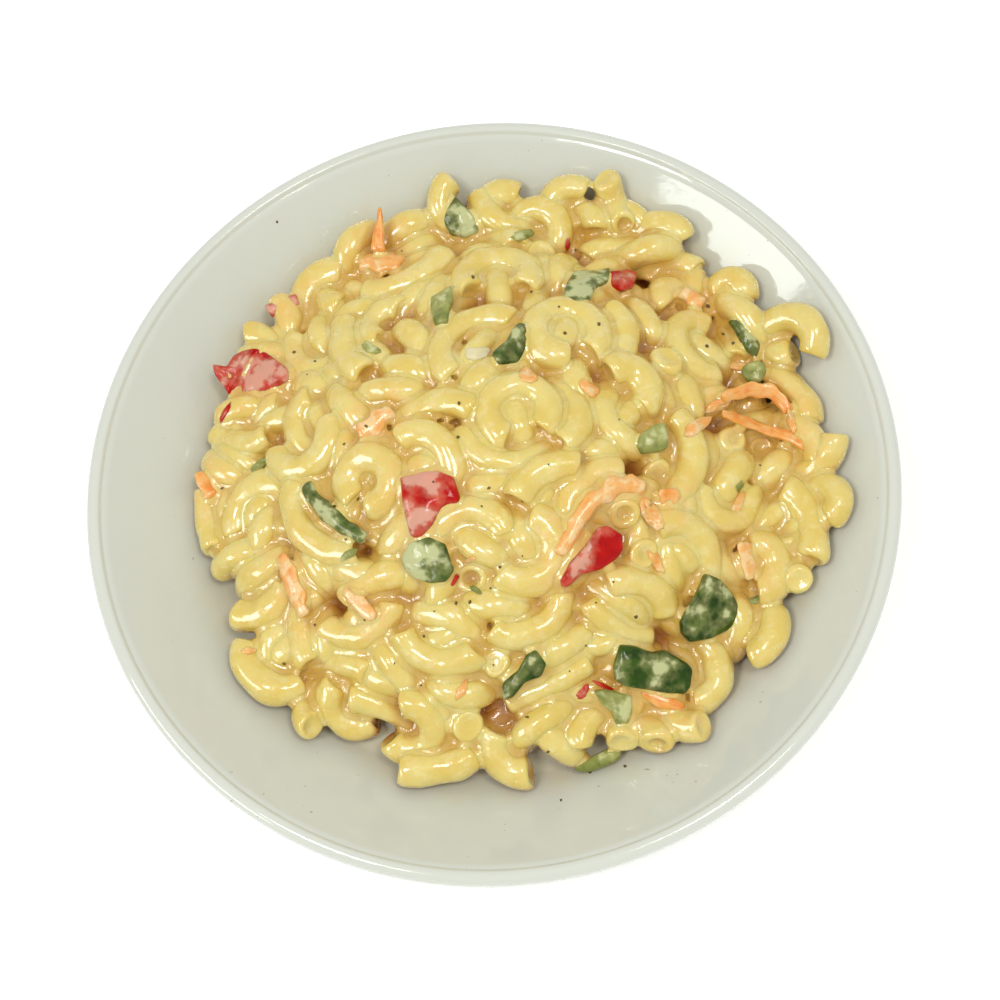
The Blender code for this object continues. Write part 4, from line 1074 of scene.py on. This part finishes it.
def lay_lower_pieces(upper, fixed_points, fixed_radius):
    """More layers, which show between the pieces of the first and lie under the vegetables."""
    draw = np.random.default_rng(SEED + 1)
    nothing = np.empty((0, 3))
    chains = upper
    lifts = []
    for depth, hole, share, most in LOWER_LAYERS:
        before = len(chains)
        chains = fill_bare_spots(chains, nothing, draw, most, hole, depth, share)
        lifts += [TUBE_RADIUS - depth] * (len(chains) - before)
    lower = chains[len(upper):]
    return settle(lower, np.array(lifts), lower.mean(1), np.full(len(lower), PLACED_HOLD),
                  fixed_points, fixed_radius, LOWER_STEPS)


TUBE_SIDES = 20
TUBE_RINGS = 26
TUBE_SPREAD = (0.95, 1.10)
TUBE_SQUASH = 0.07
TUBE_SWAY = (0.030, 1.3)            # share of the radius, and waves along the tube
TUBE_SWELL = (0.025, 2.1)
BORE_RADIUS = 1.75 * MM
BORE_SPREAD = (0.8, 1.15)
BORE_DEPTHS = (0.5 * MM, 0.9 * MM, 2.2 * MM, 3.0 * MM)
BORE_CHANCES = (0.35, 0.30, 0.2, 0.15)
END_LENGTH = 1.7 * MM
LUMPS = ((8 * MM, 0.70 * MM), (2.8 * MM, 0.12 * MM))  # size and height
END_PROFILE = (         # share of the tube's radius, and distance from its tip in mm
    (0.52, 0.30), (0.66, 0.0), (0.80, 0.05), (0.91, 0.40), (0.975, 0.95), (1.0, 1.7))


def tube_end(bore, depth, radius):
    """Radii and distances from the tip, from the bottom of a bore over its rim to the side."""
    inner = [(0.01 * MM, depth), (bore * 0.75, depth * 0.97), (bore, depth * 0.55)]
    return np.array(inner + [(share * radius, along * MM) for share, along in END_PROFILE])


def macaroni_tube(chain, draw):
    """Rings of one bent tube, from the bottom of one bore over its outside to the other's."""
    centre, axis_x, axis_y, bend, start, end = circle_through(chain[0], chain[CHAIN // 2],
                                                              chain[-1])
    if start > end:
        start, end = end, start
    radius = TUBE_RADIUS * draw.uniform(*TUBE_SPREAD)
    depths = draw.choice(BORE_DEPTHS, 2, p=BORE_CHANCES)
    bore = BORE_RADIUS * draw.uniform(*BORE_SPREAD)
    length = (end - start) * bend
    first = tube_end(bore, depths[0], radius)
    last = tube_end(bore, depths[1], radius)[::-1]
    side = np.linspace(END_LENGTH, length - END_LENGTH, TUBE_RINGS + 2)[1:-1]
    places = np.concatenate([first[:, 1], side, length - last[:, 1]])
    radii = np.concatenate([first[:, 0], np.full(TUBE_RINGS, radius), last[:, 0]])
    angle = start + places / bend
    outward = np.cos(angle)[:, None] * axis_x + np.sin(angle)[:, None] * axis_y
    axis = np.cross(axis_x, axis_y)
    turns = np.linspace(0, 2 * pi, TUBE_SIDES, endpoint=False)
    squash = draw.uniform(-TUBE_SQUASH, TUBE_SQUASH)
    lean = draw.uniform(0, pi)
    phase = draw.uniform(0, 2 * pi, 3)
    share = places / length
    shape = (1 + squash * np.cos(2 * turns - lean)[None, :]
             + TUBE_SWAY[0] * np.sin(2 * pi * share * TUBE_SWAY[1] + phase[0])[:, None]
             * np.cos(turns + phase[1])[None, :]
             + TUBE_SWELL[0] * np.sin(2 * pi * share * TUBE_SWELL[1] + phase[2])[:, None])
    size = radii[:, None] * shape
    return ((centre + bend * outward)[:, None, :]
            + (size * np.cos(turns))[:, :, None] * outward[:, None, :]
            + (size * np.sin(turns))[:, :, None] * axis)


def lumpy(points):
    """Moves points by a smooth random amount each way."""
    for size, height in LUMPS:
        points = np.array([Vector(point) + height * noise.noise_vector(Vector(point) / size)
                           for point in points])
    return points


CREAM_SMEAR = (0.90, 0.79, 0.42, 1)
CARROT_STAIN = (0.88, 0.52, 0.16, 1)
# Painted shade: pasta and dressing darken to the first colour in creases between pieces, and to the
# second deep in the heap.
PASTA_SHADE = (0.60, 0.32, 0.045, 1)
PASTA_DEEP_SHADE = (0.34, 0.10, 0.012, 1)
STAIN_REACH = 6.5 * MM
DEPTH_REACH = 10 * MM


def creamy(name, thin, thick, scale):
    """Pasta under dressing: clear yellow where the coat is thin, paler where it is thick.

    It is stained near carrot and red pepper, and has painted shade in creases and deep in the heap.
    """
    surface, shader, place = start_material(name, {
        "IOR": 1.45, "Coat Weight": 0.9, "Coat Roughness": 0.07, "Subsurface Weight": 0.45,
        "Subsurface Radius": (1.0, 0.55, 0.16), "Subsurface Scale": 1.3 * MM})
    colour = place.noise(8 * MM).between(0.36, 0.62).blend(thin, thick)
    smears = place.noise(3.2 * MM, 3.0).between(0.48, 0.70)
    colour = (smears * 0.32).blend(colour, CREAM_SMEAR)
    stain = place.layer("stain") * place.noise(3 * MM, 3.0).between(0.25, 0.7)
    colour = (stain * 0.55).blend(colour, CARROT_STAIN)
    # Painted shade: darker and browner in the creases between pieces, and darker still deep in the
    # heap.
    crease = place.layer("crease")
    painted_crease_shade = crease.between(0.2, 0.62) * 0.58 + crease.between(0.7, 1.0) * 0.14
    colour = painted_crease_shade.blend(colour, PASTA_SHADE)
    # Painted shade deep in the heap, where a point lies far under the dome.
    deep = place.layer("depth").between(0.40, 0.90) * 0.85
    deep.blend(colour, PASTA_DEEP_SHADE).feed(shader, "Base Color")
    (0.22 + smears * 0.10).feed(shader, "Roughness")
    bump_from(shader, place.noise(scale) + 0.25 * place.noise(0.8 * MM), 0.22 * MM)
    return surface


def topping_points(*kinds):
    """Points of the vegetables, and the room that each point needs round it."""
    points, rooms = [], []
    for strips in kinds:
        for places, widths, thickness, roll in strips.values():
            points.append(strip_points(places, widths, roll).reshape(-1, 3))
            rooms.append(np.full(len(points[-1]), thickness * MM / 2 + TOPPING_ROOM))
    return np.concatenate(points), np.concatenate(rooms)


def mark_surroundings(thing):
    """How near each point is to carrot or red pepper, and how deep it lies under the dome, which
    sets the painted shade deep in the heap.
    """
    points = np.empty(len(thing.data.vertices) * 3)
    thing.data.vertices.foreach_get("co", points)
    points = points.reshape(-1, 3)
    away = np.full(len(points), 1.0)
    for stainer in stainers:
        away = np.minimum(away, np.linalg.norm(points - stainer, axis=1))
    mark_points(thing, "stain", np.exp(-(away / STAIN_REACH) ** 2))
    depth = (heap_top(points[:, 0], points[:, 1]) - points[:, 2]) / DEPTH_REACH
    mark_points(thing, "depth", np.clip(depth, 0, 1))


fixed_points, fixed_radius = topping_points(GREEN_PEPPERS, RED_PEPPERS, CARROTS)
stainers, _ = topping_points(RED_PEPPERS, CARROTS)
upper_chains = lay_pieces(fixed_points, fixed_radius)
lower_chains = lay_lower_pieces(upper_chains, fixed_points, fixed_radius)
pasta = creamy("dressed_macaroni", (0.780, 0.595, 0.140, 1), (0.810, 0.665, 0.210, 1),
               2.2 * MM)
tube_draw = np.random.default_rng(SEED + 2)
noise.seed_set(SEED)                # without a seed, noise_vector differs from run to run
tube_meshes, pasta_pieces = [], []
lots = {"macaroni_upper_a": upper_chains[0::2], "macaroni_upper_b": upper_chains[1::2],
        "macaroni_lower_a": lower_chains[0::2], "macaroni_lower_b": lower_chains[1::2]}
for name, chains in lots.items():
    points, faces = [], []
    for chain in chains:
        rings = macaroni_tube(chain, tube_draw)
        faces += sweep_faces(rings.shape[0], rings.shape[1], sum(len(part) for part in points))
        points.append(lumpy(rings.reshape(-1, 3)))
    points = np.concatenate(points)
    thing = add_mesh(name, points, faces, [pasta])
    mark_surroundings(thing)
    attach(thing, "root")
    pasta_pieces.append(thing)
    tube_meshes.append((points, faces))
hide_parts("macaroni")


# The heart of the heap: pasta and dressing out of sight. It has no mesh of its own; the dressing
# is wrapped round it too, so that gaps between pieces end in warm shadow and not in a hollow. Lying
# deep under the dome, that dressing also gets a dark painted shade.
HEART_INSET = 11.5 * MM
HEART_REACH = 0.86
HEART_SIDES = 48
HEART_RINGS = 16
HEART_START = 0.4                   # of a ring's step, so that the first ring isn't a point
HEART_ROOM = 1.5 * MM


def heart_of_heap():
    """Rings outwards under the dome, then back inwards along the underside of the salad."""
    turns = np.linspace(0, 2 * pi, HEART_SIDES, endpoint=False)
    rings = []
    for k in range(HEART_RINGS):
        reach = HEART_REACH * HEAP_RADIUS * (k + HEART_START) / (HEART_RINGS - 1 + HEART_START)
        x = HEAP_MIDDLE[0] + reach * np.cos(turns)
        y = HEAP_MIDDLE[1] + reach * np.sin(turns)
        z = np.maximum(heap_top(x, y) - HEART_INSET, sole(x, y) + HEART_ROOM)
        rings.append(np.stack([x, y, z], 1))
    for share in (1.0, 0.5, 0.02):
        x = HEAP_MIDDLE[0] + HEART_REACH * share * HEAP_RADIUS * np.cos(turns)
        y = HEAP_MIDDLE[1] + HEART_REACH * share * HEAP_RADIUS * np.sin(turns)
        rings.append(np.stack([x, y, sole(x, y)], 1))
    return np.concatenate(rings), sweep_faces(len(rings), HEART_SIDES)


# The dressing: mayonnaise thinned with the salad's own juices, stirred in. It fills the creases
# where pieces meet, over every gap narrower than twice its reach, and lies just under the skin
# of the pieces elsewhere, whose own material carries their coat of it.
DRESSING_VOXEL = 0.95 * MM
DRESSING_REACH = 1.0 * MM
DRESSING_INSET = 0.28 * MM
BARE_DEPTH = 0.3 * MM               # dressing stays this far under the skin of a vegetable
BARE_REACH = 0.25 * MM
# The surface spanning the pieces' tops sets where pasta and dressing get painted shade in their
# creases.
ENVELOPE_VOXEL = 1.3 * MM
ENVELOPE_REACH = 6 * MM
CREASE_DEPTH = 3.5 * MM


def triangles_of(faces):
    """Every face cut into a fan of triangles."""
    return np.array([(face[0], face[k], face[k + 1]) for face in faces
                     for k in range(1, len(face) - 1)], dtype=np.uint32)


def offset_surface(points, triangles, quads, distance, voxel=DRESSING_VOXEL):
    """The surface at a distance outside a closed mesh, or inside it where that is negative."""
    band = abs(distance) / voxel + 3
    grid = openvdb.FloatGrid.createLevelSetFromPolygons(
        points.astype(np.float32), triangles=triangles, quads=quads,
        transform=openvdb.createLinearTransform(voxelSize=voxel), halfWidth=band)
    return grid.convertToPolygons(isovalue=distance, adaptivity=0.0)


cuts = [thing for thing in bpy.data.objects if thing.name.endswith("_cut")]
solids = [heart_of_heap(), *tube_meshes]
for thing in cuts:
    solids.append((np.array([v.co for v in thing.data.vertices]),
                   [tuple(face.vertices) for face in thing.data.polygons]))
all_points = np.concatenate([points for points, _ in solids])
starts = np.cumsum([0] + [len(points) for points, _ in solids])
all_triangles = np.concatenate([triangles_of(faces) + start for (_, faces), start
                                in zip(solids, starts)]).astype(np.uint32)
no_quads = np.empty((0, 4), dtype=np.uint32)
grown = offset_surface(all_points, all_triangles, no_quads, DRESSING_REACH)
closed = offset_surface(*grown, -(DRESSING_REACH + DRESSING_INSET))
spanned = offset_surface(all_points, all_triangles, no_quads, ENVELOPE_REACH, ENVELOPE_VOXEL)
spanned = offset_surface(*spanned, -ENVELOPE_REACH, ENVELOPE_VOXEL)


def largest_body(points, triangles, quads):
    """The connected surface with the most points, without the pockets shut inside the heap."""
    edges = np.concatenate([quads[:, 0:2], quads[:, 1:3], quads[:, 2:4],
                            triangles[:, 0:2], triangles[:, 1:3]])
    first, second = edges.T.astype(int)
    label = np.arange(len(points))
    while True:
        before = label.copy()
        low = np.minimum(label[first], label[second])
        np.minimum.at(label, first, low)
        np.minimum.at(label, second, low)
        label = label[label]
        if (label == before).all():
            break
    kept = label == np.bincount(label).argmax()
    renumbered = np.cumsum(kept) - 1
    faces = [renumbered[part[kept[part[:, 0]]]].tolist() for part in (triangles, quads)]
    return points[kept], faces[0] + faces[1]


def mark_creases(thing, tops):
    """How far each point lies under the surface that spans the pieces' tops, from 0 to 1, which
    sets the painted shade in creases.
    """
    away = []
    for point in thing.data.vertices:
        place, _, _, distance = tops.find_nearest(point.co, CREASE_DEPTH)
        away.append(1.0 if place is None else distance / CREASE_DEPTH)
    mark_points(thing, "crease", np.array(away))


def bare_vegetables(points, bare):
    """Draws the dressing back under the skins of the vegetables that aren't buried in it."""
    depsgraph = bpy.context.evaluated_depsgraph_get()
    for cut in bare:
        tree = BVHTree.FromObject(cut, depsgraph)
        corners = np.array([corner[:] for corner in cut.bound_box])
        near = np.all((points > corners.min(0) - BARE_REACH)
                      & (points < corners.max(0) + BARE_REACH), axis=1)
        for k in np.flatnonzero(near):
            surface, normal, _, _ = tree.find_nearest(Vector(points[k]), 2 * MM)
            if surface is None:
                continue
            height = (Vector(points[k]) - surface).dot(normal)
            if -BARE_DEPTH < height < BARE_REACH:
                points[k] = points[k] - (height + BARE_DEPTH) * np.array(normal)
    return points


# Half buried pieces, which the dressing stays on.
EMBEDDED = ("green_coated", "green_under_ring", "green_pale_right", "green_small_right",
            "green_folded", "carrot_left_strip", "carrot_left_short", "carrot_coated",
            "carrot_back_right", "carrot_right_strip", "carrot_band", "carrot_base")
dressing_points, faces = largest_body(*closed)
dressing_points = bare_vegetables(dressing_points.astype(float), [
    cut for cut in cuts if cut.name.removesuffix("_cut") not in EMBEDDED])
cream = creamy("dressing", (0.780, 0.595, 0.150, 1), (0.810, 0.665, 0.220, 1), 1.9 * MM)
dressing = add_mesh("dressing", dressing_points, faces, [cream])
tops = BVHTree.FromPolygons(spanned[0].tolist(), spanned[1].tolist() + spanned[2].tolist())
for thing in [dressing, *pasta_pieces]:
    mark_creases(thing, tops)
mark_surroundings(dressing)
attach(dressing, "root")


# Small things stuck in the dressing on top: cracked pepper, a scrap of onion, and shreds of pepper
# and carrot that came off the knife and the grater. Each is draped over what it lies on.
SCRAP_SIDES = 14
SCRAP_RINGS = (         # share of a scrap's outline, and share of its height
    (1.04, -0.5), (1.0, 0.3), (0.88, 0.85), (0.5, 1.0), (0.02, 1.05))
SCRAP_DRAPE = 0.8 * MM
FLECK_HEIGHT = 0.22 * MM
MORE_FLECKS = 24
FLECKED_MIDDLE = (518, 480)         # in pixels, as are all places and sizes below
FLECKED_REACH = (305, 275)
PEPPER_FLECKS = [
    (473, 277), (599, 324), (565, 333), (459, 403), (458, 437), (424, 636), (456, 603), (470, 602),
    (222, 488), (527, 717), (707, 346), (708, 306), (723, 334), (733, 343), (489, 488), (548, 752),
    (636, 617), (344, 444), (358, 499), (366, 426), (500, 567), (284, 664), (294, 352), (315, 361),
]
CARROT_SCRAPS = [       # pixel, length, width, and turn in degrees
    (528, 375, 20, 13, -30), (589, 388, 24, 13, -40), (738, 505, 32, 9, 65), (718, 405, 28, 11, 20),
    (737, 366, 26, 10, -10), (698, 426, 32, 14, 35), (657, 562, 26, 10, -60), (462, 690, 20, 9, 60),
    (249, 650, 14, 7, 0), (470, 560, 12, 6, 30), (791, 421, 26, 9, -75), (652, 514, 38, 15, -62),
]
GREEN_SCRAPS = [
    (371, 348, 20, 9, -25), (259, 465, 20, 9, 35), (523, 235, 24, 10, 10), (349, 554, 20, 8, 30),
    (756, 600, 28, 9, 20), (476, 590, 14, 6, -30), (740, 486, 12, 6, 60),
]
RED_SCRAPS = [
    (583, 692, 18, 8, 55), (455, 580, 14, 5, 60), (568, 244, 14, 5, 80), (225, 412, 22, 5, 60),
    (604, 686, 24, 5, -25),
]
ONION_SCRAPS = [(477, 353, 26, 12, 10)]
SPECKS_ON_DISH = [(277, 222), (590, 772), (625, 766), (561, 800)]

depsgraph = bpy.context.evaluated_depsgraph_get()
seen_trees = [BVHTree.FromObject(thing, depsgraph)
              for thing in [dish, dressing, *pasta_pieces, *cuts]]


def seen_at(u, v):
    """The place and the normal of what shows at a pixel."""
    ray = Vector(line_of_sight(u, v)).normalized()
    hits = [tree.ray_cast(Vector(VIEW_EYE), ray) for tree in seen_trees]
    place, normal, _, _ = min([hit for hit in hits if hit[0] is not None], key=lambda hit: hit[3])
    return np.array(place), np.array(normal if normal.dot(ray) < 0 else -normal)


def scrap(u, v, length, width, turn, height, seed):
    """Rings of a thin scrap at a pixel; its length and width are in pixels too."""
    middle, up = seen_at(u, v)
    up = unit(up + VIEW_BACK)
    lean = radians(turn)
    rings = []
    for share, lift in SCRAP_RINGS:
        for side in range(SCRAP_SIDES):
            angle = 2 * pi * side / SCRAP_SIDES
            reach = share * (1 + 0.45 * wobble((cos(angle), sin(angle), 0), 0.9, seed))
            x, y = reach * length / 2 * cos(angle), reach * width / 2 * sin(angle)
            pixel = u + x * cos(lean) - y * sin(lean), v - x * sin(lean) - y * cos(lean)
            place, _ = seen_at(*pixel)
            rise = np.clip((place - middle) @ up, -SCRAP_DRAPE, SCRAP_DRAPE) + lift * height
            ray = line_of_sight(*pixel)
            rings.append(VIEW_EYE + ray * (((middle - VIEW_EYE) @ up + rise) / (ray @ up)))
    return np.array(rings)


def lay_scraps(name, scraps, height, surface, coat=0.5):
    """One object of like scraps."""
    points, faces = [], []
    for number, place in enumerate(scraps):
        points.append(scrap(*place, height, number + 1))
        faces += sweep_faces(len(SCRAP_RINGS), SCRAP_SIDES, number * len(points[0]))
    points = np.concatenate(points)
    thing = add_mesh(name, points, faces, [surface])
    mark_points(thing, "coat", np.full(len(points), coat))
    mark_points(thing, "grain", points)
    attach(thing, "root")


def cracked_pepper():
    """Dark brown and rough."""
    surface, shader, place = start_material("cracked_pepper", {"IOR": 1.3})
    shade = place.noise(0.3 * MM).blend((0.07, 0.042, 0.012, 1), (0.24, 0.16, 0.06, 1))
    shade.feed(shader, "Base Color")
    (0.55 + place.noise(0.4 * MM) * 0.3).feed(shader, "Roughness")
    return surface


def onion_flesh():
    """Pale, wet and a little see-through."""
    surface, shader, place = start_material("onion_flesh", {
        "IOR": 1.42, "Coat Weight": 0.6, "Coat Roughness": 0.06, "Subsurface Weight": 0.4,
        "Subsurface Radius": (1.0, 0.9, 0.6), "Subsurface Scale": 1.5 * MM})
    place.noise(1.2 * MM).blend((0.74, 0.64, 0.34, 1), (0.80, 0.74, 0.50, 1)).feed(
        shader, "Base Color")
    (0.15 + place.noise(1 * MM) * 0.15).feed(shader, "Roughness")
    return surface


fleck_draw = np.random.default_rng(SEED + 3)
flecks = [(u, v, *fleck_draw.uniform(2.2, 4.0, 2), fleck_draw.uniform(0, 180))
          for u, v in PEPPER_FLECKS + SPECKS_ON_DISH]
for _ in range(MORE_FLECKS):
    turn, reach = fleck_draw.uniform(0, 2 * pi), np.sqrt(fleck_draw.uniform(0, 1))
    flecks.append((FLECKED_MIDDLE[0] + FLECKED_REACH[0] * reach * cos(turn),
                   FLECKED_MIDDLE[1] + FLECKED_REACH[1] * reach * sin(turn),
                   *fleck_draw.uniform(1.4, 2.8, 2), fleck_draw.uniform(0, 180)))
lay_scraps("pepper_flecks", flecks, FLECK_HEIGHT, cracked_pepper())
lay_scraps("carrot_scraps", CARROT_SCRAPS, 0.8 * MM, carrot_flesh, 0.6)
lay_scraps("green_scraps", GREEN_SCRAPS, 0.6 * MM, pale_skin, 0.55)
lay_scraps("red_scraps", RED_SCRAPS, 0.6 * MM, red_skin, 0.45)
lay_scraps("onion_scraps", ONION_SCRAPS, 0.7 * MM, onion_flesh())
